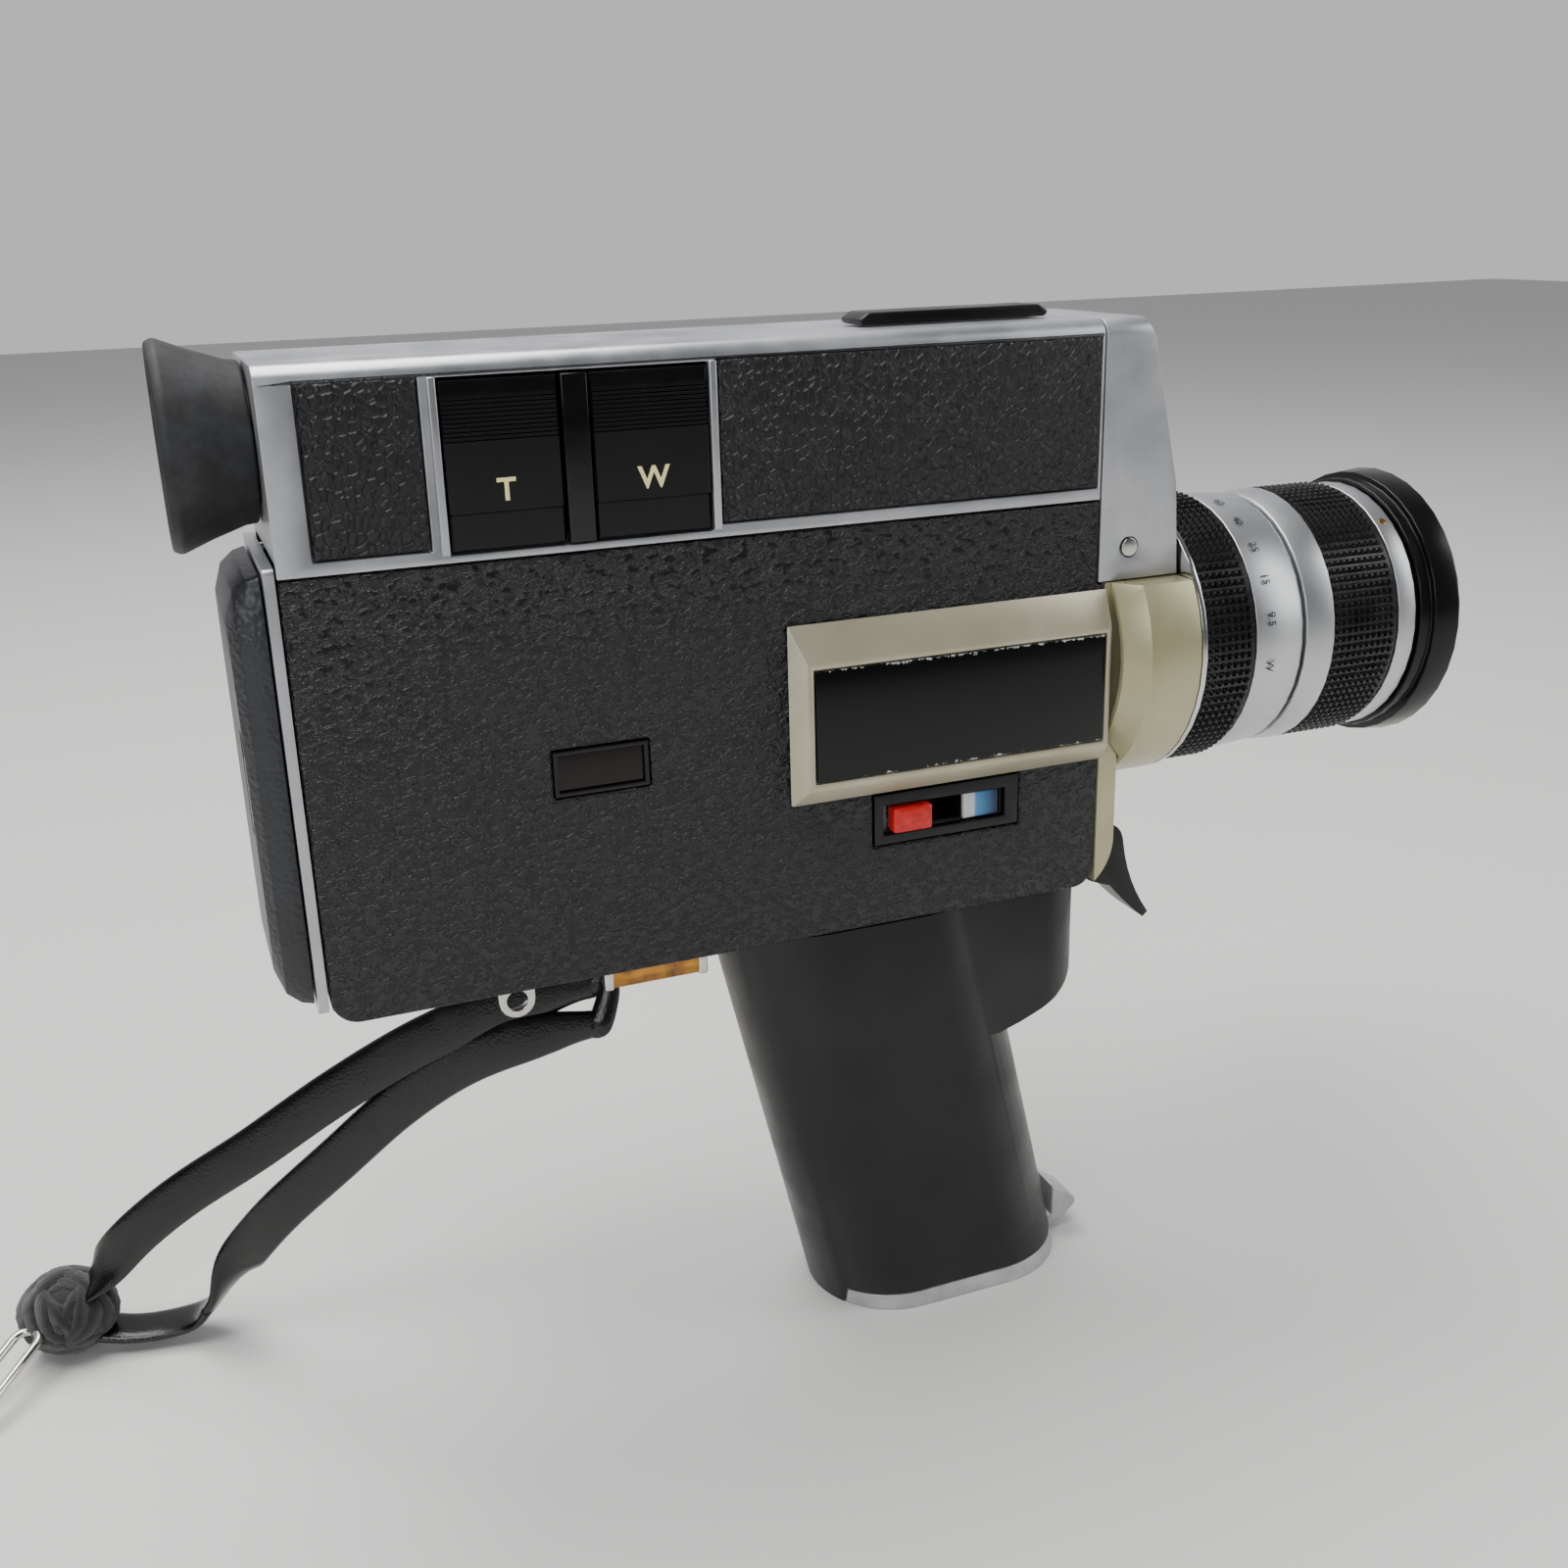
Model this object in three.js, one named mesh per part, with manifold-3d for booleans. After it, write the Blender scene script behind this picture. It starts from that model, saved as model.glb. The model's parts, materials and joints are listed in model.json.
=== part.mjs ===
// A hand-held Super 8 cine camera with a power zoom, standing on its battery grip, with its wrist strap.
// Millimetres. +Z is up and +X is the way the lens points. The origin is the centre of the grip's base.
import * as THREE from 'three';
import { mergeVertices } from 'three/addons/utils/BufferGeometryUtils.js';
import Module from 'manifold-3d';

const wasm = await Module();
wasm.setup();

// ---- Driving dimensions ----

// Clearances
const GAP = 0.3; // between neighbours that touch
const SLIP = 0.4; // around a piece that moves
const PAST = 1; // how far a cutting tool runs past the face it cuts

// Body
const GRIP_HEIGHT = 83.7; // base of the grip to the underside of the body
const LOWER_HEIGHT = 72; // underside to the split between black lower body and silver housing
const UPPER_HEIGHT = 30.1; // split to the top of the silver housing
const BODY_LENGTH = 142.8; // rear edge of the side covers to the face of the front plate
const BODY_WIDTH = 34.6;
const FRONT_X = 30.3; // face of the front plate
const COVER = 1.8; // side covers and housing walls
const LOWER_CORNER = 4.5; // radius of the covers' lower corners
const TOP_EDGE = 2.8; // radius along the housing's top edges
const BOTTOM_PLATE = 1.6;
const FRONT_PLATE = 3.8;
const FRONT_CURVE = 10.8; // radius of the front plate's lower front corner

// Film chamber, sized for a drop-in cartridge, and what is around it
const CARTRIDGE = { length: 76, width: 24, height: 69.2 };
const CARTRIDGE_SLACK = 1.2;
const CHASSIS_WALL = 1.2;
const GATE_WALL = 2.5;
const CHASSIS_FLOOR = 1;
const BAY_MARGIN = 8; // the gear bay stops this far inside the chassis, above and below
const GEAR_TEETH = 24;
const GEAR_PITCH_R = 18;
const GEAR_THICK = 1.9;
const TOOTH_HEIGHT = 2.2;
const MOTOR_R = 9;
const MOTOR_LENGTH = 22;
const SHUTTER_R = 11.6;
const APERTURE = { width: 5.7, height: 4.1 };
const GATE = { half: 7, rise: 9 }; // the removable gate plate, about the lens axis
const GEAR_PIN_R = 1.8;

// Side details: the window is placed from the rear edge, the selector and bezels from the front plate
const WINDOW_BACK = 38.1;
const WINDOW_LENGTH = 16.4;
const WINDOW_RISE = 32.3; // above the underside
const WINDOW_HEIGHT = 8.3;
const WINDOW_SUNK = 0.8; // the pane's face behind the cover's
const WINDOW_LEDGE = 1; // chassis showing inside the window's edge
const SELECTOR_BACK = 44.8; // rear end of the selector's plate, behind the front plate
const SELECTOR_RISE = 15.1;
const SELECTOR_HEIGHT = 9.3;
const SELECTOR_RIM = 1.7; // between the plate's edge and the slot
const SELECTOR_TAIL = 2.6; // the same, at the front end
const SLOT_HEIGHT = 5.4;
const KNOB = { length: 7.5, travel: 5.5, proud: 1.2, margin: 1.5 }; // margin: clear slot past its travel
const FLAG = { length: 6.9, margin: 1, sunk: 0.9 };
const BEZEL_LENGTH = 60.8;
// The bezel's clearances, then how far it stands proud, then the widths of its slopes
const BEZEL = { gap: 0.4, under: 1, overlap: 0.2, proud: 2.7, left: 2.8, top: 6.5, bottom: 3.1, right: 1 };
const NAMEPLATE = { inset: 1.1, thick: 0.8 };
const DIAL_R = 9;
const DIAL_HEIGHT = 3;
const DIAL_SEAT = 1; // depth of the dial's recess

// Silver housing: leather, keys and cap
const LEATHER = { thick: 1.2, proud: 0.3, z0: 2.3, z1: 27.3 }; // heights above the split
const REAR_MARGIN = 5.5; // rear edge of the housing to the rear leather
const REAR_LEATHER_LENGTH = 16.9;
const LEATHER_TO_KEYS = 3.2;
const KEYS = { length: 40.9, z0: 1.5, z1: 26.7, thick: 2.4, proud: 0.7 }; // heights above the split
const KEYS_TO_LEATHER = 1.9;
const DIVIDER = { fromRear: 17.9, width: 4.1, proud: 0.9 }; // between the two keys
const FRONT_MARGIN = 1.1; // front leather to the cap
const CAP_BACK = 5.2; // rear edge of the cap, behind the face of the front plate
const CAP_OVER = 1.37; // the cap's lower edge above where the lens throat meets the body's side
const CAP = { low: 10.9, middle: 9.9, high: 4.4, bend: 28.5, shoulder: 3.5, nose: 1.5 }; // slanted front
const CAP_SCREW = { fromRear: 5.9, clear: 3.05, r: 1.6, proud: 0.3, depth: 0.9 }; // clear of the lens throat
const TOP_STRIP = { back: 45.6, length: 34.2, y0: -7.4, y1: 0.6, high: 2, flare: 0.6, taper: 1.2 };

// Eyepiece
const EYE_Z = 17.9; // axis above the split
const EYE_TUBE_R = 9;
const EYE_TUBE_LENGTH = 50;
const EYE_BORE_R = 6.5;
const PRISM = { back: 14, length: 10, half: 5, rise: 3, high: 12 };
const EYECUP = { base: 2.7, flare: 3.8, length: 11.6, wall: 1.8 };

// Rear door
const DOOR = { bottom: 1.3, overlap: 1.7, thick: 1.6, inset: 0.3, corner: 4, hump: 5.4, humpEdge: 1.4 };
const HINGE_R = 1;
const LATCH = { y: -9, width: 4.4, high: 12, travel: 4, deep: 2 };

// Lens, measured along X with radii about the lens axis
const LENS_DROP = 28.8; // lens axis below the split
const NECK_R = 13.4; // the barrel inside the body
const NECK_CLEAR = 18.7; // from the gear's teeth to the rear end of the neck
const BARREL_R = 20.5;
const BARREL_WALL = 3;
const BARREL_LENGTH = 49.7; // from the face of the front plate
const COLLAR = { wall: 4.6, room: 1.1, length: 11, flare: 3.6 };
const COLLAR_RING = 1;
// Rings on the barrel: places forward of the front plate's face, thicknesses outside the barrel
const ZOOM = { rear: 12.7, gripEnd: 23.4, front: 34.7, grip: 5, band: 4.4, end: 3.7, seat: 2.8, bevel: 0.6 };
const FOCUS = { rear: 35.2, gripStart: 41.3, gripEnd: 55.8, front: 60, end: 3.6, middle: 4.1, grip: 4, seat: 2.2 };
const FRONT_RING = { rear: 60.7, step: 63.1, front: 68.7, neck: 4.2, rim: 5.8, bore: 1.1, web: 1.4, sleeve: 1.8,
  mouth: 1.6, recess: 4, bevel: 0.5 };
const ELEMENT_DEPTH = 8;

// Trigger
const TRIGGER = { ahead: 4.3, rise: 2.3, pinR: 1, half: 4.6 }; // pivot ahead of the plate, above the underside
const LUG = { half: 1.5, reach: 2.4, below: 2.2, above: 4 };

// Grip, battery cells and lid
const GRIP_LENGTH = 52.5;
const GRIP_WALL = 1.9;
const GRIP_ROOM = 1.1; // spare width beside the cells
const GRIP_LEAN = 0.226; // how far the grip's section moves back for each millimetre of height
const BASE_CENTRE_X = 1.35;
const BULGE_BACK = 3; // front of the bulge under the body, behind the face of the front plate
const BULGE_LENGTH = 47.3;
const BULGE_HALF = 14.6;
const BULGE_DEPTH = 30;
// a hollow pan, open upwards; back is its hinge, behind the middle of the base
const LID = { thick: 3.6, back: 23.15, pan: 1.4, wall: 2 };
const LEVER = { reach: 6, high: 10.6, width: 9, root: 2.2 };
const CELL_R = 7.1;
const CELL_LENGTH = 50.4;
const CELL_FLOOR = 6;

// Strap hardware
const STRAP_BAR = { x0: -66.5, x1: -49.7, y: -11.5, width: 5, high: 4 };
const EYELET = { x: -82.3, y: -12.4, r: 3.1, hole: 1.8, thick: 1.6 };
const STRAP_TUBE_R = 2.6;
const KEEPER = { x: -164, y: 37, z: 8.8, rx: 9.6, ry: 9, rz: 8.5 };
const LINK = { length: 24, width: 7, wire: 1.7 };

// The strap's two runs, from the bar under the body to the keeper that lies on the table
const UPPER_RUN = [
  [-68.6, -10, 79.2], [-76, -5.5, 77], [-86, 0.5, 72.3], [-98, 7, 65.4], [-112, 14, 55.4],
  [-127, 20.5, 43.8], [-140, 26.5, 34.2], [-150, 31, 25.2], [-157.5, 34.8, 16], [-162, 36.6, 10],
];
const LOWER_RUN = [
  [-68.6, -13.6, 73.5], [-75, -8.5, 71], [-83, -3, 67.4], [-92, 3, 61.6], [-102, 9, 52.8], [-113, 14.6, 41.4],
  [-124, 20.4, 29.8], [-131.5, 25.4, 19.4], [-136, 29, 10.6], [-140, 31.4, 5], [-146, 33, 3.1],
  [-153, 34.2, 3.1], [-160, 36, 4.4],
];

// Facets
const ROUND = 36; // sides of the lens rings
const SMALL = 20; // sides of small round pieces

// ---- Worked-out places ----
const BOTTOM_Z = GRIP_HEIGHT;
const SPLIT_Z = BOTTOM_Z + LOWER_HEIGHT;
const TOP_Z = SPLIT_Z + UPPER_HEIGHT;
const REAR_X = FRONT_X - BODY_LENGTH;
const SIDE_Y = BODY_WIDTH / 2;
const INNER_Y = SIDE_Y - COVER; // inner face of the covers
const FRAME_Y = INNER_Y - GAP; // outer face of the chassis
const PLATE_X = FRONT_X - FRONT_PLATE; // rear face of the front plate
const COVER_FRONT = PLATE_X - GAP;
const LENS_Z = SPLIT_Z - LENS_DROP;
const FLOOR_Z = BOTTOM_Z + BOTTOM_PLATE + GAP; // underside of the chassis
const CHAMBER_Z0 = FLOOR_Z + CHASSIS_FLOOR;
const CHAMBER_Z1 = CHAMBER_Z0 + CARTRIDGE.height + CARTRIDGE_SLACK;
const CHAMBER_Y0 = -FRAME_Y + CHASSIS_WALL;
const CHAMBER_Y1 = CHAMBER_Y0 + CARTRIDGE.width + CARTRIDGE_SLACK;
const GATE_X = REAR_X + CARTRIDGE.length + CARTRIDGE_SLACK; // rear face of the gate wall
const BAY_X = GATE_X + GATE_WALL; // front face of the gate wall
const EYE_AXIS_Z = SPLIT_Z + EYE_Z;
const LEATHER_X0 = REAR_X + REAR_MARGIN;
const KEYS_X0 = LEATHER_X0 + REAR_LEATHER_LENGTH + LEATHER_TO_KEYS;
const KEYS_X1 = KEYS_X0 + KEYS.length;
const DIVIDER_X0 = KEYS_X0 + DIVIDER.fromRear;
const CAP_X0 = FRONT_X - CAP_BACK;
const LEATHER_X1 = CAP_X0 - FRONT_MARGIN;
const DOOR_Z1 = SPLIT_Z + DOOR.overlap;
const BARREL_FRONT = FRONT_X + BARREL_LENGTH;
const COLLAR_BORE = BARREL_R + COLLAR.room;
const CAP_Z0 = LENS_Z + Math.sqrt(COLLAR_BORE ** 2 - SIDE_Y ** 2) + CAP_OVER;
const COLLAR_R = COLLAR_BORE + COLLAR.wall;
const COLLAR_FRONT = FRONT_X + COLLAR.length;
const GRIP_WIDTH = 4 * CELL_R + 2 * GRIP_WALL + GAP + GRIP_ROOM;
const LID_HINGE_X = BASE_CENTRE_X - LID.back;
const WINDOW = { x0: REAR_X + WINDOW_BACK, x1: REAR_X + WINDOW_BACK + WINDOW_LENGTH,
  z0: BOTTOM_Z + WINDOW_RISE, z1: BOTTOM_Z + WINDOW_RISE + WINDOW_HEIGHT };
const SELECTOR_X0 = PLATE_X - SELECTOR_BACK;
const SELECTOR_Z0 = BOTTOM_Z + SELECTOR_RISE;
const SELECTOR_Z1 = SELECTOR_Z0 + SELECTOR_HEIGHT;
const SLOT_X0 = SELECTOR_X0 + SELECTOR_RIM;
const SLOT_Z0 = SELECTOR_Z0 + SELECTOR_RIM;
const SLOT_Z1 = SLOT_Z0 + SLOT_HEIGHT;
const KNOB_X0 = SLOT_X0 + KNOB.margin;
const FLAG_X0 = KNOB_X0 + KNOB.length + KNOB.travel + KNOB.margin;
const SLOT_X1 = FLAG_X0 + FLAG.length + FLAG.margin;
const SELECTOR_X1 = SLOT_X1 + SELECTOR_TAIL;
const BEZEL_X1 = PLATE_X + BEZEL.overlap;
const BEZEL_X0 = BEZEL_X1 - BEZEL_LENGTH;
const BEZEL_Z0 = SELECTOR_Z1 + BEZEL.gap;
const BEZEL_Z1 = CAP_Z0 - BEZEL.under;

// ---- Solids: small helpers over manifold-3d ----

// A three.js geometry as a solid.
function solid(geometry) {
  const bare = geometry.index ? geometry.toNonIndexed() : geometry.clone();
  bare.deleteAttribute('normal');
  bare.deleteAttribute('uv');
  const merged = mergeVertices(bare, 1e-4);
  const vertProperties = merged.attributes.position.array;
  const triVerts = new Uint32Array(merged.index.array);
  return new wasm.Manifold(new wasm.Mesh({ numProp: 3, vertProperties, triVerts }));
}

function cut(base, ...tools) {
  return tools.reduce((left, tool) => left.subtract(tool), base);
}

function join(...pieces) {
  return pieces.reduce((whole, piece) => whole.add(piece));
}

function block(x0, x1, y0, y1, z0, z1) {
  const box = new THREE.BoxGeometry(x1 - x0, y1 - y0, z1 - z0);
  return solid(box.translate((x0 + x1) / 2, (y0 + y1) / 2, (z0 + z1) / 2));
}

// An outline in X and Z, extruded along Y.
function plateY(shape, y0, y1, curveSegments = 6) {
  const plate = new THREE.ExtrudeGeometry(shape, { depth: y1 - y0, bevelEnabled: false, curveSegments });
  return solid(plate.rotateX(Math.PI / 2).translate(0, y1, 0));
}

// An outline in Y and Z, extruded along X.
function plateX(shape, x0, x1, curveSegments = 6) {
  const plate = new THREE.ExtrudeGeometry(shape, { depth: x1 - x0, bevelEnabled: false, curveSegments });
  const turn = new THREE.Matrix4().makeBasis(
    new THREE.Vector3(0, 1, 0), new THREE.Vector3(0, 0, 1), new THREE.Vector3(1, 0, 0));
  return solid(plate.applyMatrix4(turn).translate(x0, 0, 0));
}

// An outline in X and Y, extruded along Z.
function plateZ(shape, z0, z1, curveSegments = 6) {
  const plate = new THREE.ExtrudeGeometry(shape, { depth: z1 - z0, bevelEnabled: false, curveSegments });
  return solid(plate.translate(0, 0, z0));
}

function outline(points) {
  return new THREE.Shape(points.map(([u, v]) => new THREE.Vector2(u, v)));
}

// A rectangle whose corners are rounded, each with its own radius: low-left, low-right, high-right, high-left.
function rounded(u0, u1, v0, v1, [a, b, c, d]) {
  const shape = new THREE.Shape();
  shape.moveTo(u0 + a, v0).lineTo(u1 - b, v0);
  if (b) shape.absarc(u1 - b, v0 + b, b, -Math.PI / 2, 0);
  shape.lineTo(u1, v1 - c);
  if (c) shape.absarc(u1 - c, v1 - c, c, 0, Math.PI / 2);
  shape.lineTo(u0 + d, v1);
  if (d) shape.absarc(u0 + d, v1 - d, d, Math.PI / 2, Math.PI);
  shape.lineTo(u0, v0 + a);
  if (a) shape.absarc(u0 + a, v0 + a, a, Math.PI, Math.PI * 1.5);
  return shape;
}

// A profile of [place along X, radius] points, turned about the X axis. It starts and ends on the axis, or
// closes on itself when it doesn't touch the axis.
function turned(profile, sides = ROUND) {
  const closed = profile.every(([, r]) => r > 0) ? [...profile, profile[0]] : profile;
  const area = closed.slice(1).reduce((sum, [x, r], i) => sum + (closed[i][0] * r - x * closed[i][1]), 0);
  const ordered = area < 0 ? closed : [...closed].reverse();
  const lathe = new THREE.LatheGeometry(ordered.map(([x, r]) => new THREE.Vector2(r, x)), sides);
  return solid(lathe.rotateZ(-Math.PI / 2));
}

function rodX(r, x0, x1, y = 0, z = 0, sides = SMALL) {
  return turned([[x0, 0], [x0, r], [x1, r], [x1, 0]], sides).translate([0, y, z]);
}

function rodY(r, y0, y1, x, z, sides = SMALL) {
  const rod = new THREE.CylinderGeometry(r, r, y1 - y0, sides);
  return solid(rod.translate(x, (y0 + y1) / 2, z));
}

// ---- Materials ----
function finish(color, roughness, metalness = 0) {
  return new THREE.MeshStandardMaterial({ color, roughness, metalness });
}
const satinSilver = finish(0xb9bbbf, 0.35, 0.9);
const bareSilver = finish(0xc9cacb, 0.28, 0.95);
const creamPaint = finish(0xaaa688, 0.5, 0.15);
const blackTexture = finish(0x17181a, 0.5);
const blackLeather = finish(0x1b1c1f, 0.55);
const glossBlack = finish(0x0b0c0e, 0.12);
const satinBlack = finish(0x1d1f20, 0.38);
const rubber = finish(0x151516, 0.7);
const blackMetal = finish(0x141516, 0.35, 0.6);
const castGrey = finish(0x6f7275, 0.6, 0.7);
const lidGrey = finish(0xb3b5b8, 0.45, 0.6);
const redPlastic = finish(0xc8261f, 0.35);
const blueFlag = finish(0x2b6ca3, 0.3);
const amber = finish(0xb87410, 0.2);
const smokedClear = finish(0x2a1d12, 0.08);
const lensGlass = finish(0x9fb0c0, 0.02);
const brass = finish(0xb08d4a, 0.35, 0.9);
const steel = finish(0x9b9da0, 0.3, 0.95);
const cellJacket = finish(0x3c5f8a, 0.4, 0.3);
const strapBlack = finish(0x0f1012, 0.3);
const keeperCloth = finish(0x0b0b0c, 0.95);

const camera = new THREE.Group();
const lens = new THREE.Group();
lens.position.z = LENS_Z;
camera.add(lens);

// Adds a finished solid to a group as a named mesh.
function add(name, made, material, group = camera) {
  const { vertProperties, triVerts, numProp } = made.getMesh();
  const position = new Float32Array((vertProperties.length / numProp) * 3);
  for (let i = 0; i < position.length; i++) {
    position[i] = vertProperties[Math.floor(i / 3) * numProp + (i % 3)];
  }
  const geometry = new THREE.BufferGeometry();
  geometry.setAttribute('position', new THREE.BufferAttribute(position, 3));
  geometry.setIndex(new THREE.BufferAttribute(new Uint32Array(triVerts), 1));
  geometry.computeVertexNormals();
  const mesh = new THREE.Mesh(geometry, material);
  mesh.name = name;
  group.add(mesh);
  return mesh;
}

// ---- Chassis: the die-cast frame with the film chamber, the gate wall and the mechanism bays ----
function chassis() {
  const lower = block(REAR_X + GAP, COVER_FRONT, -FRAME_Y, FRAME_Y, FLOOR_Z, SPLIT_Z - GAP);
  const roofFront = BAY_X + 2;
  const roofTop = CHAMBER_Z1 + CHASSIS_WALL;
  const raised = block(REAR_X + COVER + 2 * GAP, roofFront, -FRAME_Y, FRAME_Y, SPLIT_Z - PAST, roofTop);
  const chamber = block(REAR_X - PAST, GATE_X, CHAMBER_Y0, CHAMBER_Y1, CHAMBER_Z0, CHAMBER_Z1);
  const bayZ0 = CHAMBER_Z0 + BAY_MARGIN;
  const bayZ1 = SPLIT_Z - BAY_MARGIN;
  const gearBayX1 = MAIN_GEAR.x + GEAR_PITCH_R + 2;
  const gearBay = block(SPINDLE.x - GEAR_PITCH_R - 3, gearBayX1, CHAMBER_Y1 + CHASSIS_WALL, FRAME_Y + PAST,
    bayZ0, bayZ1);
  const bayFront = COVER_FRONT - GATE_WALL;
  const mechanismBay = block(BAY_X, bayFront, CHAMBER_Y0, CHAMBER_Y1, CHAMBER_Z0 + 2, SPLIT_Z - BAY_MARGIN / 2);
  const bayDoor = block(gearBayX1 - PAST, bayFront, CHAMBER_Y1 - PAST, FRAME_Y + PAST, bayZ0, bayZ1);
  const lensBore = rodX(NECK_R + GAP, bayFront - PAST, COVER_FRONT + PAST, 0, LENS_Z, ROUND);
  const filmWindow = block(WINDOW.x0 + WINDOW_LEDGE, WINDOW.x1 - WINDOW_LEDGE, -FRAME_Y - PAST, CHAMBER_Y0 + PAST,
    WINDOW.z0 + WINDOW_LEDGE, WINDOW.z1 - WINDOW_LEDGE);
  const gateHole = block(GATE_X - PAST, BAY_X + PAST, -GATE.half, GATE.half, LENS_Z - GATE.rise, LENS_Z + GATE.rise);
  const selectorSlot = block(SLOT_X0 + KNOB.margin, SLOT_X1, -FRAME_Y - PAST, CHAMBER_Y0 + PAST, SLOT_Z0, SLOT_Z1);
  const spindleHole = rodY(SPINDLE.tipR + SLIP, CHAMBER_Y1 - PAST, FRAME_Y, SPINDLE.x, SPINDLE.z);
  const gearPin = rodY(GEAR_PIN_R, CHAMBER_Y1 + CHASSIS_WALL - PAST / 2, FRAME_Y - GAP, MAIN_GEAR.x, MAIN_GEAR.z);
  const frame = cut(join(lower, raised), chamber, mechanismBay, lensBore, filmWindow, gateHole, selectorSlot,
    cut(gearBay, gearPin), bayDoor, spindleHole);
  add('chassis', frame, castGrey);
}

// ---- Gears, take-up spindle, shutter, motor and film gate ----
const MAIN_GEAR = { x: BAY_X - 2, z: LENS_Z - 9 };
const SPINDLE = { x: MAIN_GEAR.x - 2 * GEAR_PITCH_R, z: MAIN_GEAR.z, tipR: 3.4, shaftR: 2.4 };
const SHUTTER = { x: BAY_X + 3, y: CHAMBER_Y0 + 12.4, z: LENS_Z - 8 };
const GEAR_Y0 = CHAMBER_Y1 + CHASSIS_WALL + SLIP;

// A gear's outline, with a tooth or a gap facing along +X.
function gearShape(phase) {
  const step = (2 * Math.PI) / GEAR_TEETH;
  const root = GEAR_PITCH_R - TOOTH_HEIGHT / 2 - SLIP / 2;
  const tip = GEAR_PITCH_R + TOOTH_HEIGHT / 2 - SLIP / 2;
  const points = [];
  for (let i = 0; i < GEAR_TEETH; i++) {
    const middle = (i + phase) * step;
    for (const [share, r] of [[-0.27, root], [-0.12, tip], [0.12, tip], [0.27, root]]) {
      points.push([r * Math.cos(middle + share * step), r * Math.sin(middle + share * step)]);
    }
  }
  return outline(points);
}

function mechanism() {
  const y1 = GEAR_Y0 + GEAR_THICK;
  const wheel = plateY(gearShape(0), GEAR_Y0, y1).translate([MAIN_GEAR.x, 0, MAIN_GEAR.z]);
  const bore = rodY(GEAR_PIN_R + SLIP, GEAR_Y0 - PAST, y1 + PAST, MAIN_GEAR.x, MAIN_GEAR.z);
  add('main_gear', cut(wheel, bore), brass);

  const driven = plateY(gearShape(0.5), GEAR_Y0, y1).translate([SPINDLE.x, 0, SPINDLE.z]);
  const shaft = rodY(SPINDLE.shaftR, CHAMBER_Y1 - 4.5, GEAR_Y0 + 0.1, SPINDLE.x, SPINDLE.z);
  const dogs = [0, 1, 2].map((i) => {
    const dog = block(0, SPINDLE.tipR - 0.1, CHAMBER_Y1 - 4.4, CHAMBER_Y1 - 0.8, -0.7, 0.7);
    return dog.rotate([0, i * 120, 0]).translate([SPINDLE.x, 0, SPINDLE.z]);
  });
  add('takeup_spindle', join(driven, shaft, ...dogs), steel);

  const disc = new THREE.Shape().moveTo(0, 0).absarc(0, 0, SHUTTER_R, Math.PI * 0.15, Math.PI * 1.35).lineTo(0, 0);
  const blade = plateX(disc, SHUTTER.x, SHUTTER.x + 0.8, 14).translate([0, SHUTTER.y, SHUTTER.z]);
  const hub = rodX(2, SHUTTER.x - 1, SHUTTER.x + 5, SHUTTER.y, SHUTTER.z);
  add('shutter_disc', join(blade, hub), blackMetal);

  const motorX = SHUTTER.x + 1.8;
  const motor = rodX(MOTOR_R, motorX, motorX + MOTOR_LENGTH, CHAMBER_Y0 + MOTOR_R + 1.6, CHAMBER_Z0 + MOTOR_R + 3);
  add('drive_motor', motor, steel);

  const plate = block(GATE_X + GAP, BAY_X + 1, -GATE.half + GAP, GATE.half - GAP,
    LENS_Z - GATE.rise + GAP, LENS_Z + GATE.rise - GAP);
  const aperture = block(GATE_X - PAST, BAY_X + 2 * PAST, -APERTURE.width / 2, APERTURE.width / 2,
    LENS_Z - APERTURE.height / 2, LENS_Z + APERTURE.height / 2);
  add('film_gate', cut(plate, aperture), blackMetal);
}

// ---- Covers of the lower body ----
function coverShape() {
  return rounded(REAR_X, COVER_FRONT, BOTTOM_Z, SPLIT_Z - GAP, [LOWER_CORNER, LOWER_CORNER - 0.5, 0, 0]);
}

function covers() {
  const wide = SIDE_Y + PAST;
  const capRoom = block(CAP_X0 - GAP, COVER_FRONT + PAST, -wide, wide, CAP_Z0 - GAP, SPLIT_Z + PAST);
  const right = cut(plateY(coverShape(), -SIDE_Y, -INNER_Y), capRoom);
  const window = block(WINDOW.x0, WINDOW.x1, -SIDE_Y - PAST, -INNER_Y + PAST, WINDOW.z0, WINDOW.z1);
  const selectorHole = block(SELECTOR_X0 - GAP, SELECTOR_X1 + GAP, -SIDE_Y - PAST, -INNER_Y + PAST,
    SELECTOR_Z0 - GAP, SELECTOR_Z1 + GAP);
  add('right_cover', cut(right, window, selectorHole), blackTexture);
  add('left_cover', cut(plateY(coverShape(), INNER_Y, SIDE_Y), capRoom), blackTexture);
  add('bottom_plate', block(REAR_X + LOWER_CORNER, COVER_FRONT - LOWER_CORNER, -FRAME_Y, FRAME_Y,
    BOTTOM_Z, BOTTOM_Z + BOTTOM_PLATE), blackTexture);

  const pane = block(WINDOW.x0 + GAP, WINDOW.x1 - GAP, -SIDE_Y + WINDOW_SUNK, -INNER_Y,
    WINDOW.z0 + GAP, WINDOW.z1 - GAP);
  add('cartridge_window', pane, smokedClear);
}

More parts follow.
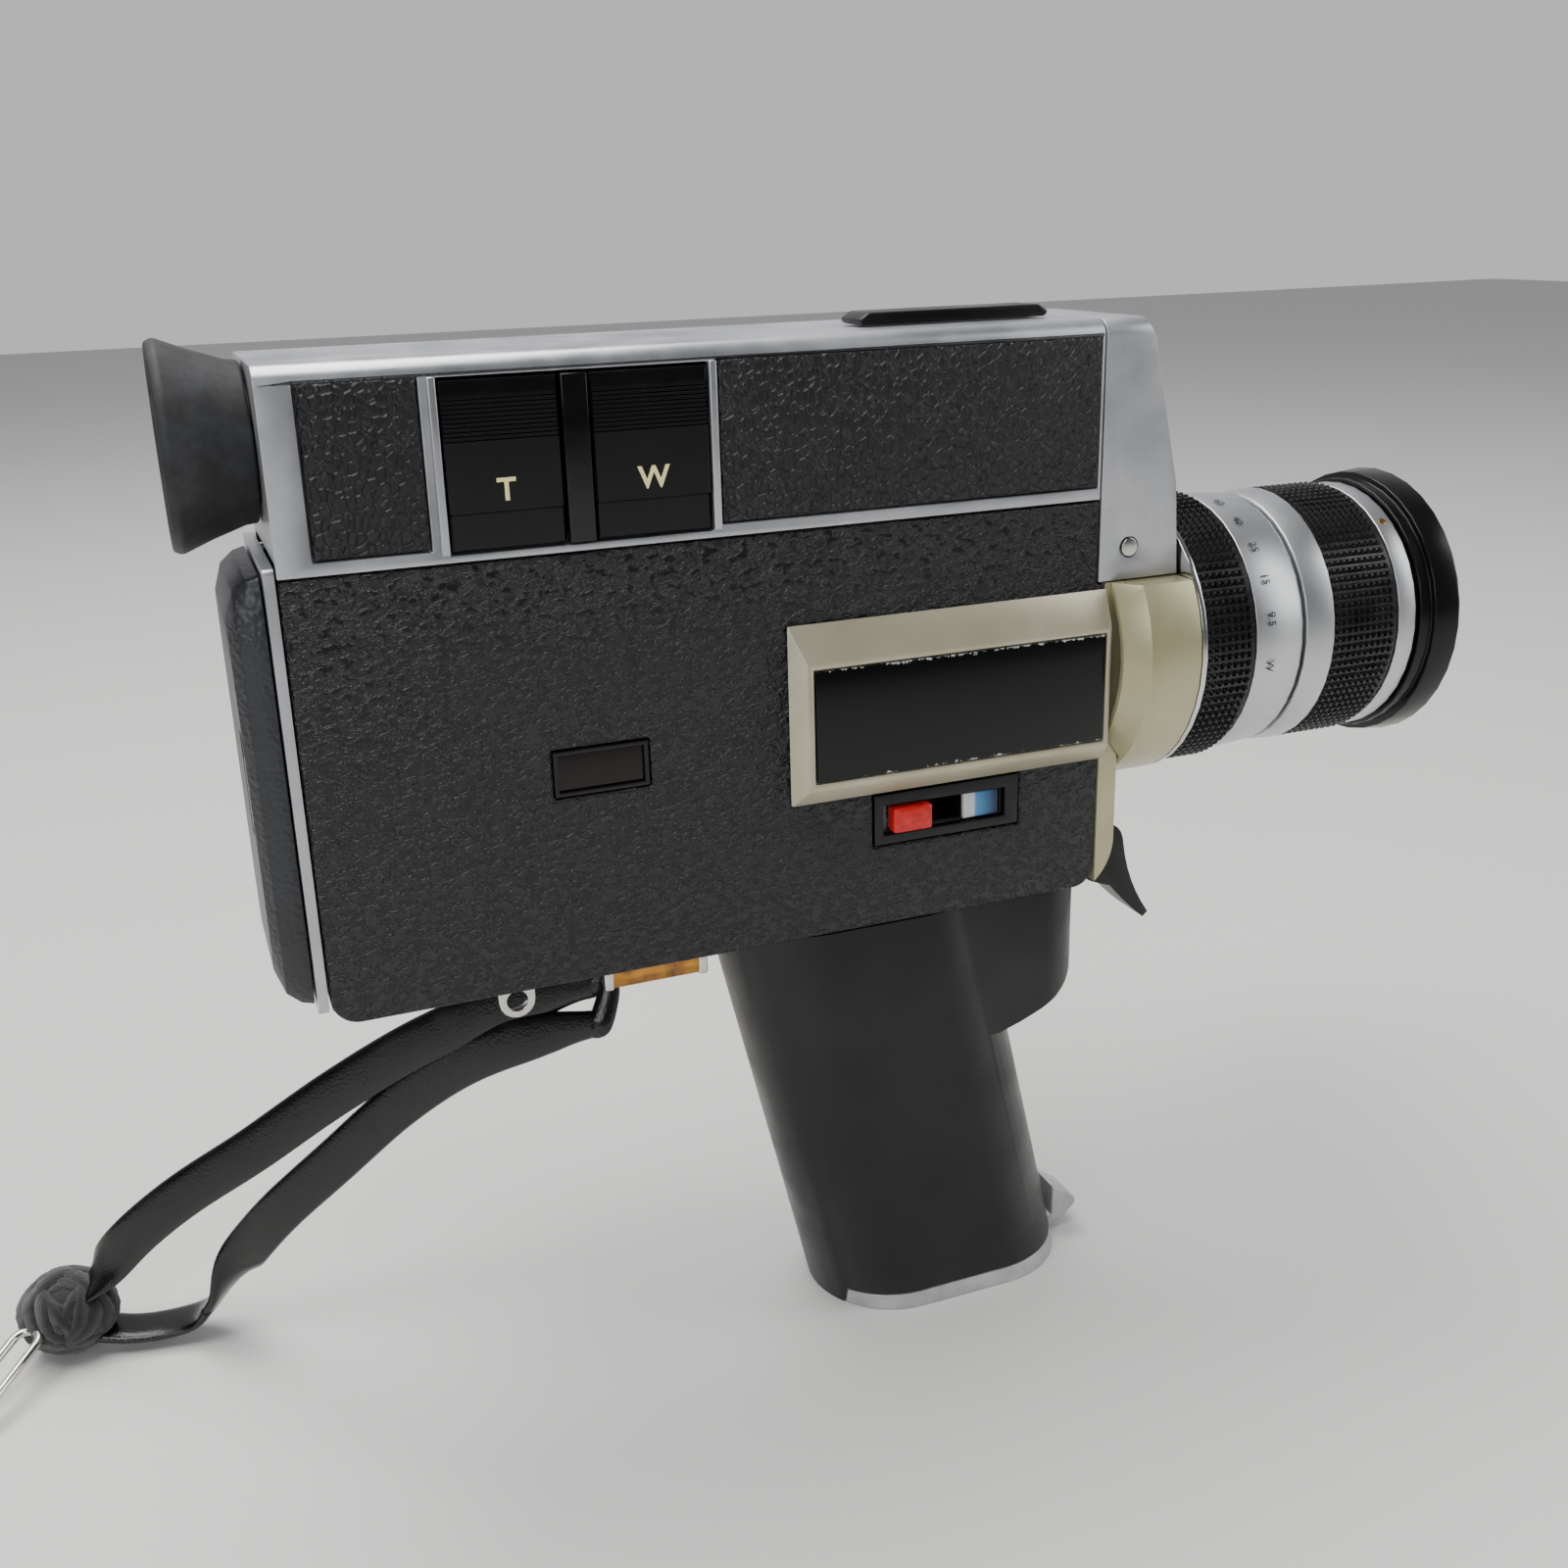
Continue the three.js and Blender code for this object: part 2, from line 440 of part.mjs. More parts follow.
// ---- Filter selector: its plate, the red knob and the blue and white flag behind the slot ----
function selector() {
  const plate = block(SELECTOR_X0, SELECTOR_X1, -SIDE_Y, -INNER_Y, SELECTOR_Z0, SELECTOR_Z1);
  const slot = block(SLOT_X0, SLOT_X1, -SIDE_Y - PAST, -INNER_Y + PAST, SLOT_Z0, SLOT_Z1);
  add('selector_plate', cut(plate, slot), blackTexture);
  const z0 = SLOT_Z0 + SLIP;
  const z1 = SLOT_Z1 - SLIP;
  const knob = block(KNOB_X0, KNOB_X0 + KNOB.length, -SIDE_Y - KNOB.proud, -INNER_Y, z0, z1);
  add('selector_knob', knob, redPlastic);
  const flag = block(FLAG_X0, FLAG_X0 + FLAG.length, -SIDE_Y + FLAG.sunk, -INNER_Y, z0, z1);
  add('filter_flag', flag, blueFlag);
}

// ---- Bezels on both sides, the blank nameplate and the running-speed dial ----
function bezelBlock(side) {
  const face = side * (SIDE_Y + GAP);
  const top = side * (SIDE_Y + BEZEL.proud);
  return block(0, 1, 0, 1, 0, 1).warp((p) => {
    const [front, high, upper] = p.map((place) => place > 0.5);
    p[0] = front ? BEZEL_X1 : BEZEL_X0 + (high ? BEZEL.left : 0);
    p[1] = high ? top : face;
    p[2] = upper ? BEZEL_Z1 - (high ? BEZEL.top : 0) : BEZEL_Z0 + (high ? BEZEL.bottom : 0);
  });
}

function bezels() {
  const x0 = BEZEL_X0 + BEZEL.left + NAMEPLATE.inset;
  const x1 = BEZEL_X1 - BEZEL.right;
  const z0 = BEZEL_Z0 + BEZEL.bottom + NAMEPLATE.inset;
  const z1 = BEZEL_Z1 - BEZEL.top - NAMEPLATE.inset;
  const top = -SIDE_Y - BEZEL.proud;
  const pocket = block(x0, x1, top - PAST, top + NAMEPLATE.thick + GAP, z0, z1);
  add('bezel_right', cut(solidOut(bezelBlock(-1)), pocket), creamPaint);
  const plate = block(x0 + GAP, x1 - GAP, top, top + NAMEPLATE.thick, z0 + GAP, z1 - GAP);
  add('nameplate', plate, glossBlack);

  const dialX = (x0 + x1) / 2;
  const dialZ = (z0 + z1) / 2;
  const face = SIDE_Y + BEZEL.proud;
  const seat = rodY(DIAL_R + SLIP, face - DIAL_SEAT, face + PAST, dialX, dialZ, ROUND);
  add('bezel_left', cut(solidOut(bezelBlock(1)), seat), creamPaint);
  const dial = rodY(DIAL_R, face - DIAL_SEAT + GAP, face - DIAL_SEAT + DIAL_HEIGHT, dialX, dialZ, ROUND);
  add('speed_dial', dial, satinSilver);
}

// A warp can turn a solid inside out, so its faces are put back the right way round.
function solidOut(made) {
  if (made.volume() > 0) return made;
  const mesh = made.getMesh();
  const turnedBack = mesh.triVerts.slice();
  for (let i = 0; i < turnedBack.length; i += 3) {
    [turnedBack[i + 1], turnedBack[i + 2]] = [turnedBack[i + 2], turnedBack[i + 1]];
  }
  const { vertProperties } = mesh;
  return new wasm.Manifold(new wasm.Mesh({ numProp: 3, vertProperties, triVerts: turnedBack }));
}

// ---- Front plate with the trigger's lug and pin, and the trigger ----
const PIVOT = { x: FRONT_X + TRIGGER.ahead, z: BOTTOM_Z + TRIGGER.rise };
function frontPlate() {
  const run = Math.sqrt(FRONT_CURVE ** 2 - (FRONT_CURVE - FRONT_PLATE) ** 2);
  const shape = new THREE.Shape();
  shape.moveTo(PLATE_X, BOTTOM_Z + 0.6);
  const start = Math.asin((FRONT_CURVE - FRONT_PLATE) / FRONT_CURVE) - Math.PI / 2;
  shape.absarc(FRONT_X - FRONT_CURVE, BOTTOM_Z + 0.6 + run, FRONT_CURVE, start, 0);
  shape.lineTo(FRONT_X, CAP_Z0 - GAP).lineTo(PLATE_X, CAP_Z0 - GAP);
  const plate = plateY(shape, -SIDE_Y, SIDE_Y, 8);
  const hole = rodX(NECK_R + GAP, PLATE_X - PAST, FRONT_X + PAST, 0, LENS_Z, ROUND);
  const lug = block(PLATE_X + GAP, PIVOT.x + LUG.reach, -LUG.half, LUG.half,
    PIVOT.z - LUG.below, PIVOT.z + LUG.above);
  const pin = rodY(TRIGGER.pinR, -TRIGGER.half + GAP, TRIGGER.half - GAP, PIVOT.x, PIVOT.z);
  add('front_plate', join(cut(plate, hole), lug, pin), creamPaint);
}

function trigger() {
  const { x, z } = PIVOT;
  const shape = new THREE.Shape();
  shape.moveTo(x - 2.6, z + 0.4);
  shape.quadraticCurveTo(x - 1.6, z + 3.4, x + 1.6, z + 3.9);
  shape.quadraticCurveTo(x + 6, z + 3.6, x + 6.4, z - 1);
  shape.quadraticCurveTo(x + 7.6, z - 9.4, x + 12.7, z - 16.6);
  shape.lineTo(x + 11.6, z - 17.6);
  shape.quadraticCurveTo(x + 7.4, z - 14, x + 3.6, z - 9.4);
  shape.quadraticCurveTo(x - 0.6, z - 8, x - 1.4, z - 7.4);
  const blade = plateY(shape, -TRIGGER.half, TRIGGER.half, 6);
  const bore = rodY(TRIGGER.pinR + SLIP, -TRIGGER.half - PAST, TRIGGER.half + PAST, x, z);
  const lugRoom = block(x - 5, x + LUG.reach + 2 * SLIP, -LUG.half - SLIP, LUG.half + SLIP,
    z - LUG.below - 2 * SLIP, z + LUG.above + PAST);
  add('trigger', cut(blade, bore, lugRoom), satinBlack);
}

// ---- Silver housing, its cap and screws ----
function housingSection(inset = 0) {
  const edge = TOP_EDGE - Math.min(inset, TOP_EDGE - 0.8);
  return rounded(-SIDE_Y + inset, SIDE_Y - inset, SPLIT_Z - (inset ? PAST : 0), TOP_Z - inset, [0, 0, edge, edge]);
}

// A flat recess for a leather panel, on the side given by its sign.
function leatherRecess(side, x0, x1) {
  const floor = SIDE_Y + LEATHER.proud - LEATHER.thick - GAP;
  const [y0, y1] = side > 0 ? [floor, SIDE_Y + PAST] : [-SIDE_Y - PAST, -floor];
  return block(x0 - GAP, x1 + GAP, y0, y1, SPLIT_Z + LEATHER.z0 - GAP, SPLIT_Z + LEATHER.z1 + GAP);
}

function housing() {
  const front = CAP_X0 - GAP;
  const shell = plateX(housingSection(), REAR_X, front);
  const hollow = plateX(housingSection(COVER), REAR_X + COVER, front - COVER);
  const mouth = block(REAR_X - PAST, REAR_X + COVER + PAST, -INNER_Y, INNER_Y,
    SPLIT_Z - PAST, DOOR_Z1 + GAP);
  const eyeHole = rodX(EYE_TUBE_R + GAP, REAR_X - PAST, REAR_X + COVER + PAST, 0, EYE_AXIS_Z, ROUND);
  const keyHole = block(KEYS_X0 - SLIP, KEYS_X1 + SLIP, -SIDE_Y - PAST, -INNER_Y + PAST,
    SPLIT_Z + KEYS.z0 - SLIP, SPLIT_Z + KEYS.z1 + SLIP);
  const made = cut(shell, hollow, mouth, eyeHole, keyHole,
    leatherRecess(-1, LEATHER_X0, LEATHER_X0 + REAR_LEATHER_LENGTH),
    leatherRecess(-1, KEYS_X1 + KEYS_TO_LEATHER, LEATHER_X1), leatherRecess(1, LEATHER_X0, LEATHER_X1));
  add('top_cover', made, satinSilver);
}

function leatherPanel(name, side, x0, x1) {
  const outer = SIDE_Y + LEATHER.proud;
  const [y0, y1] = side > 0 ? [outer - LEATHER.thick, outer] : [-outer, -outer + LEATHER.thick];
  add(name, block(x0, x1, y0, y1, SPLIT_Z + LEATHER.z0, SPLIT_Z + LEATHER.z1), blackLeather);
}

function frontCap() {
  const outer = [[CAP_X0, CAP_Z0], [FRONT_X + CAP.low, CAP_Z0], [FRONT_X + CAP.middle, TOP_Z - CAP.bend],
    [FRONT_X + CAP.high, TOP_Z - CAP.shoulder], [FRONT_X + CAP.high - CAP.nose, TOP_Z], [CAP_X0, TOP_Z]];
  const inner = [[CAP_X0 - PAST, CAP_Z0 - PAST], [FRONT_X + CAP.low - COVER, CAP_Z0 - PAST],
    [FRONT_X + CAP.middle - COVER, TOP_Z - CAP.bend], [FRONT_X + CAP.high - COVER, TOP_Z - CAP.shoulder - COVER],
    [FRONT_X + CAP.high - CAP.nose - COVER, TOP_Z - COVER], [CAP_X0 - PAST, TOP_Z - COVER]];
  const section = plateX(rounded(-SIDE_Y, SIDE_Y, CAP_Z0 - PAST, TOP_Z, [0, 0, TOP_EDGE, TOP_EDGE]),
    CAP_X0 - PAST, FRONT_X + CAP.low + PAST);
  const full = plateY(outline(outer), -SIDE_Y, SIDE_Y).intersect(section);
  const shell = cut(full, plateY(outline(inner), -INNER_Y, INNER_Y));
  const throat = rodX(COLLAR_BORE, FRONT_X, FRONT_X + CAP.low + PAST, 0, LENS_Z, ROUND);
  const screwX = CAP_X0 + CAP_SCREW.fromRear;
  const seatFloor = SIDE_Y - CAP_SCREW.depth;
  const screwZ = LENS_Z + Math.sqrt((COLLAR_BORE + CAP_SCREW.clear) ** 2 - seatFloor ** 2) + CAP_SCREW.r;
  const seats = [[-SIDE_Y - PAST, -seatFloor], [seatFloor, SIDE_Y + PAST]].map(
    ([y0, y1]) => rodY(CAP_SCREW.r + GAP, y0, y1, screwX, screwZ));
  add('front_cap', cut(shell, throat, ...seats), satinSilver);

  const head = SIDE_Y + CAP_SCREW.proud;
  add('cap_screw_right', rodY(CAP_SCREW.r, -head, -seatFloor - GAP, screwX, screwZ, 16), steel);
  add('cap_screw_left', rodY(CAP_SCREW.r, seatFloor + GAP, head, screwX, screwZ, 16), steel);
}

// ---- Zoom keys with the divider between them ----
function keys() {
  const z0 = SPLIT_Z + KEYS.z0;
  const z1 = SPLIT_Z + KEYS.z1;
  const y0 = -SIDE_Y - KEYS.proud;
  const y1 = y0 + KEYS.thick;
  const dividerX1 = DIVIDER_X0 + DIVIDER.width;
  add('tele_key', block(KEYS_X0, DIVIDER_X0 - SLIP, y0, y1, z0, z1), glossBlack);
  add('wide_key', block(dividerX1 + SLIP, KEYS_X1, y0, y1, z0, z1), glossBlack);
  add('key_divider', block(DIVIDER_X0, dividerX1, -SIDE_Y - DIVIDER.proud, -INNER_Y, z0, z1), glossBlack);
}

// ---- Light-socket strip on the housing's top ----
function topStrip() {
  const { back, length, y0, y1, high, flare, taper } = TOP_STRIP;
  const x0 = FRONT_X - back;
  const x1 = x0 + length;
  const z0 = TOP_Z + GAP;
  const shape = outline([[x0, z0], [x1, z0], [x1 + flare, z0 + high * 0.4], [x1 - taper, z0 + high],
    [x0 + taper, z0 + high], [x0 - flare, z0 + high * 0.4]]);
  add('top_strip', plateY(shape, y0, y1), satinBlack);
}

// ---- Eyepiece: tube, lens and rubber cup, and the finder prism in the housing ----
function eyepiece() {
  const rear = REAR_X - GAP;
  const tubeRear = rear - 2;
  const place = (made) => made.translate([0, 0, EYE_AXIS_Z]);
  const tube = turned([[tubeRear, EYE_BORE_R], [tubeRear, EYE_TUBE_R], [tubeRear + EYE_TUBE_LENGTH, EYE_TUBE_R],
    [tubeRear + EYE_TUBE_LENGTH, EYE_BORE_R]], 28);
  add('eyepiece_tube', place(tube), blackMetal);
  const glassR = EYE_BORE_R - GAP;
  const glass = turned([[tubeRear + 1.6, 0], [tubeRear + 2.6, glassR * 0.7], [tubeRear + 3.4, glassR],
    [tubeRear + 5.4, glassR], [tubeRear + 5.4, 0]], 28);
  add('eyepiece_lens', place(glass), lensGlass);
  const { length, wall } = EYECUP;
  const bore = EYE_TUBE_R + GAP;
  const baseR = bore + EYECUP.base;
  const rimR = baseR + EYECUP.flare;
  const cup = turned([[rear, bore], [rear, baseR], [rear - 2, baseR + 0.2], [rear - length * 0.6, baseR + 1.9],
    [rear - length, rimR], [rear - length - 1.4, rimR - 0.7], [rear - length - 1, rimR - wall],
    [rear - length * 0.6, baseR + 1.9 - wall], [rear - 3, bore + 0.6], [rear - 2, bore]], 32);
  add('eyecup', place(cup), rubber);
  const prismX = CAP_X0 - PRISM.back;
  add('finder_prism', block(prismX, prismX + PRISM.length, -PRISM.half, PRISM.half,
    SPLIT_Z + PRISM.rise, SPLIT_Z + PRISM.rise + PRISM.high), lensGlass);
}

// ---- Rear door with its padded skin and its latch ----
function rearDoor() {
  const z0 = BOTTOM_Z + DOOR.bottom;
  const z1 = DOOR_Z1;
  const front = REAR_X - GAP;
  const back = front - DOOR.thick;
  const half = SIDE_Y - DOOR.inset;
  const plate = plateX(rounded(-half, half, z0, z1, [DOOR.corner, DOOR.corner, 1, 1]), back, front);
  const knuckle = new THREE.CylinderGeometry(HINGE_R, HINGE_R, z1 - z0 - 12, 12).rotateX(Math.PI / 2);
  add('rear_door', join(plate, solid(knuckle.translate(HINGE.x, HINGE.y, (z0 + z1) / 2))), satinSilver);

  const skinFront = back - GAP;
  const layers = [[0, 0], [0.35, 0.25], [0.75, 1.1], [1, 3]].map(([share, inset]) => {
    const edge = DOOR.humpEdge + inset;
    return [skinFront - share * DOOR.hump, half - edge, z0 + edge + inset, z1 - edge - inset];
  });
  const slices = layers.slice(1).map(([x, y, low, high], i) => {
    const [nearX, nearY, nearLow, nearHigh] = layers[i];
    const shape = rounded(-1, 1, 0, 1, [0.18, 0.18, 0.18, 0.18]);
    return plateX(shape, 0, 1, 3).warp((p) => {
      const far = p[0] < 0.5;
      p[0] = far ? x : nearX;
      p[1] *= far ? y : nearY;
      p[2] = (far ? low : nearLow) + p[2] * ((far ? high : nearHigh) - (far ? low : nearLow));
    });
  });
  const hump = slices.map(solidOut).reduce((whole, slice) => whole.add(slice));
  const latchZ = (z0 + z1) / 2;
  const humpBack = skinFront - DOOR.hump;
  const y0 = LATCH.y - LATCH.width / 2;
  const y1 = LATCH.y + LATCH.width / 2;
  const low = latchZ - LATCH.high / 2;
  const high = latchZ + LATCH.high / 2;
  const pocket = block(humpBack - PAST, humpBack + LATCH.deep + GAP, y0 - SLIP, y1 + SLIP,
    low - SLIP, high + LATCH.travel + SLIP);
  add('door_skin', cut(hump, pocket), blackLeather);
  add('door_latch', block(humpBack + 0.1, humpBack + LATCH.deep, y0, y1, low, high), bareSilver);
}
const HINGE = { x: REAR_X - 1.4, y: SIDE_Y + 0.5 };

// ---- Lens ----
function lensParts() {
  const put = (name, made, material) => add(name, made, material, lens);
  const inner = BARREL_R - BARREL_WALL;
  const shoulder = FRONT_X + GAP;
  const ride = BARREL_R + SLIP; // bore of every ring that turns on the barrel
  const ringFront = COLLAR_FRONT + GAP + COLLAR_RING;
  const neckRear = MAIN_GEAR.x + GEAR_PITCH_R + TOOTH_HEIGHT / 2 + NECK_CLEAR;
  put('lens_barrel', turned([[neckRear, NECK_R - 2.4], [neckRear, NECK_R], [shoulder, NECK_R],
    [shoulder, COLLAR_BORE - GAP], [ringFront - GAP, COLLAR_BORE - GAP], [ringFront - GAP, BARREL_R],
    [BARREL_FRONT, BARREL_R], [BARREL_FRONT, inner], [shoulder + BARREL_WALL, inner],
    [shoulder + BARREL_WALL, NECK_R - 2.4]]), blackMetal);

  const collarRear = PLATE_X + 1;
  const collar = turned([[collarRear, COLLAR_R - COLLAR.flare], [collarRear + COLLAR.flare, COLLAR_R],
    [COLLAR_FRONT, COLLAR_R], [COLLAR_FRONT, COLLAR_BORE], [collarRear, COLLAR_BORE]]);
  const wide = 3 * COLLAR_R;
  const bodyRoom = block(PLATE_X - PAST, FRONT_X + GAP, -SIDE_Y - GAP, SIDE_Y + GAP, -wide, wide);
  const capRoom = block(PLATE_X - PAST, COLLAR_FRONT + PAST, -wide, wide, CAP_Z0 - GAP - LENS_Z, wide);
  const bezelRoom = block(PLATE_X - PAST, BEZEL_X1 + GAP, -wide, wide, -wide, wide);
  put('lens_collar', cut(collar, bodyRoom, capRoom, bezelRoom), creamPaint);
  put('collar_ring', turned([[COLLAR_FRONT + GAP, COLLAR_BORE], [COLLAR_FRONT + GAP, COLLAR_R],
    [ringFront, COLLAR_R], [ringFront, COLLAR_BORE]]), bareSilver);

  const zoomX = (place) => FRONT_X + ZOOM[place];
  const zoomSeat = BARREL_R + ZOOM.seat;
  put('zoom_ring', turned([[zoomX('rear'), ride], [zoomX('rear'), zoomSeat], [zoomX('gripEnd') + GAP, zoomSeat],
    [zoomX('gripEnd') + GAP, BARREL_R + ZOOM.band], [zoomX('front') - 1, BARREL_R + ZOOM.end],
    [zoomX('front'), BARREL_R + ZOOM.end - ZOOM.bevel], [zoomX('front'), ride]]), satinSilver);
  put('zoom_grip', turned([[zoomX('rear'), zoomSeat + GAP], [zoomX('rear'), BARREL_R + ZOOM.grip],
    [zoomX('gripEnd'), BARREL_R + ZOOM.grip], [zoomX('gripEnd'), zoomSeat + GAP]]), rubber);

  const focusX = (place) => FRONT_X + FOCUS[place];
  const focusSeat = BARREL_R + FOCUS.seat;
  const focusEnd = BARREL_R + FOCUS.end;
  put('focus_ring', turned([[focusX('rear'), ride], [focusX('rear'), focusEnd],
    [focusX('gripStart') - GAP, BARREL_R + FOCUS.middle], [focusX('gripStart') - GAP, focusSeat],
    [focusX('gripEnd') + GAP, focusSeat], [focusX('gripEnd') + GAP, focusEnd],
    [focusX('front'), focusEnd], [focusX('front'), ride]]), satinSilver);
  put('focus_grip', turned([[focusX('gripStart'), focusSeat + GAP], [focusX('gripStart'), BARREL_R + FOCUS.grip],
    [focusX('gripEnd'), BARREL_R + FOCUS.grip], [focusX('gripEnd'), focusSeat + GAP]]), rubber);

  const rear = FRONT_X + FRONT_RING.rear;
  const step = FRONT_X + FRONT_RING.step;
  const front = FRONT_X + FRONT_RING.front;
  const neckR = BARREL_R + FRONT_RING.neck;
  const rimR = BARREL_R + FRONT_RING.rim;
  const bore = BARREL_R + FRONT_RING.bore;
  const sleeveRear = BARREL_FRONT + 1.5;
  const sleeveBore = BARREL_R - FRONT_RING.sleeve;
  const webFront = rear + FRONT_RING.web;
  put('front_ring', turned([[sleeveRear, sleeveBore], [sleeveRear, BARREL_R], [rear, BARREL_R],
    [rear, neckR], [step, neckR], [step, rimR - FRONT_RING.bevel], [front - FRONT_RING.bevel, rimR],
    [front, rimR - FRONT_RING.bevel], [front, bore + FRONT_RING.mouth], [front - FRONT_RING.recess, bore],
    [webFront, bore], [webFront, sleeveBore]]), blackMetal);
  const glassRear = webFront + GAP;
  const glassR = bore - GAP;
  put('front_glass', turned([[glassRear, 0], [glassRear, glassR], [glassRear + 0.8, glassR],
    [glassRear + 1.8, glassR * 0.75], [glassRear + 2.6, glassR * 0.4], [glassRear + 2.9, 0]]), lensGlass);
  const cellRear = shoulder + 2 * BARREL_WALL;
  const cellFront = cellRear + ELEMENT_DEPTH;
  const cellR = inner - SLIP;
  put('variator_cell', turned([[cellRear + 1.5, 0], [cellRear, cellR * 0.7], [cellRear, cellR],
    [cellFront, cellR], [cellFront, cellR * 0.7], [cellFront - 1.5, 0]], 28), lensGlass);
}

// ---- Grip: sheared shell, bulge behind the trigger, cells and lid ----
function gripSection(inset = 0) {
  const half = GRIP_WIDTH / 2 - inset;
  const x0 = BASE_CENTRE_X - GRIP_LENGTH / 2 + inset;
  const x1 = BASE_CENTRE_X + GRIP_LENGTH / 2 - inset;
  const shape = new THREE.Shape();
  shape.moveTo(x0 + half, -half).lineTo(x1 - half, -half);
  shape.absarc(x1 - half, 0, half, -Math.PI / 2, Math.PI / 2);
  shape.lineTo(x0 + half, half);
  shape.absarc(x0 + half, 0, half, Math.PI / 2, Math.PI * 1.5);
  return shape;
}

// Moves each point of a solid back by the grip's lean at its height.
function lean(made) {
  return made.warp((p) => {
    p[0] -= GRIP_LEAN * p[2];
  });
}

function grip() {
  const top = BOTTOM_Z - GAP;
  const outer = lean(plateZ(gripSection(), 0, top, 12));
  const bay = lean(plateZ(gripSection(GRIP_WALL), -PAST, top - 4, 12));
  const bulgeX1 = FRONT_X - BULGE_BACK;
  const bulgeX0 = bulgeX1 - BULGE_LENGTH;
  const bulgeLow = top - BULGE_DEPTH;
  const plan = plateZ(rounded(bulgeX0, bulgeX1, -BULGE_HALF, BULGE_HALF, [4, 9, 9, 4]), bulgeLow, top);
  const side = new THREE.Shape();
  side.moveTo(bulgeX0, bulgeLow);
  side.lineTo(bulgeX1 - 18.6, bulgeLow + 1.9);
  side.quadraticCurveTo(bulgeX1 - 3.8, bulgeLow + 6, bulgeX1, bulgeLow + 13.3);
  side.lineTo(bulgeX1 + PAST, top + PAST);
  side.lineTo(bulgeX0, top + PAST);
  const bulge = plan.intersect(plateY(side, -BULGE_HALF - PAST, BULGE_HALF + PAST));
  const wide = GRIP_LENGTH + GRIP_WIDTH;
  const lidRoom = block(LID_HINGE_X - GAP, wide, -wide, wide, -PAST, LID.thick + GAP);
  add('grip_shell', cut(join(outer, bulge), bay, lidRoom), satinBlack);

  const lidPlate = lean(plateZ(gripSection(), 0, LID.thick, 12));
  const keep = block(LID_HINGE_X, wide, -wide, wide, -PAST, LID.thick + PAST);
  const nose = BASE_CENTRE_X + GRIP_LENGTH / 2 - GRIP_LEAN * LID.thick;
  const leverRoom = block(nose - LEVER.root, wide, -LEVER.width / 2 - SLIP, LEVER.width / 2 + SLIP,
    -PAST, LID.thick + PAST);
  const hollow = lean(plateZ(gripSection(LID.wall), LID.thick - LID.pan, LID.thick + PAST, 12));
  const hollowEnds = block(LID_HINGE_X + LID.wall, nose - LEVER.root - LID.wall, -wide, wide, -PAST, wide);
  add('grip_lid', cut(lidPlate.intersect(keep), leverRoom, hollow.intersect(hollowEnds)), lidGrey);

  const x = nose + 1.2;
  const lever = outline([[x - 2.4, 1.2], [x - 0.4, 1.2], [x + 1, 1.8], [x + LEVER.reach - 1, LEVER.high * 0.48],
    [x + LEVER.reach - 1, LEVER.high * 0.6], [x - 0.6, LEVER.high], [x - 0.6, LID.thick], [x - 2.4, LID.thick]]);
  add('lid_lever', plateY(lever, -LEVER.width / 2, LEVER.width / 2), lidGrey);
}

function cells() {
  const pitch = CELL_R + GAP / 2;
  const spots = [[-1, -1], [-1, 1], [1, -1], [1, 1]];
  const profile = [[0, 0], [0, CELL_R], [CELL_LENGTH - 1.4, CELL_R], [CELL_LENGTH - 1.4, 2.6],
    [CELL_LENGTH, 2.6], [CELL_LENGTH, 0]];
  const cell = turned(profile, SMALL).rotate([0, -90, 0]);
  const tilt = Math.atan(GRIP_LEAN);
  spots.forEach(([along, across], i) => {
    const mesh = add('battery_' + (i + 1), cell, cellJacket);
    mesh.rotation.y = -tilt;
    mesh.position.set(BASE_CENTRE_X + along * pitch / Math.cos(tilt) - GRIP_LEAN * CELL_FLOOR,
      across * pitch, CELL_FLOOR);
  });
}

// ---- Strap hardware, the strap's two runs, the keeper and the wire link ----
function run(points) {
  const path = new THREE.CatmullRomCurve3(points.map((p) => new THREE.Vector3(...p)));
  const corners = Array.from({ length: 8 }, (_, i) => {
    const angle = (i / 8) * 2 * Math.PI;
    return [STRAP_TUBE_R * Math.cos(angle), STRAP_TUBE_R * Math.sin(angle)];
  });
  const steps = Math.round(path.getLength() / (2.4 * 2 * STRAP_TUBE_R));
  return solid(new THREE.ExtrudeGeometry(outline(corners), { steps, bevelEnabled: false, extrudePath: path }));
}

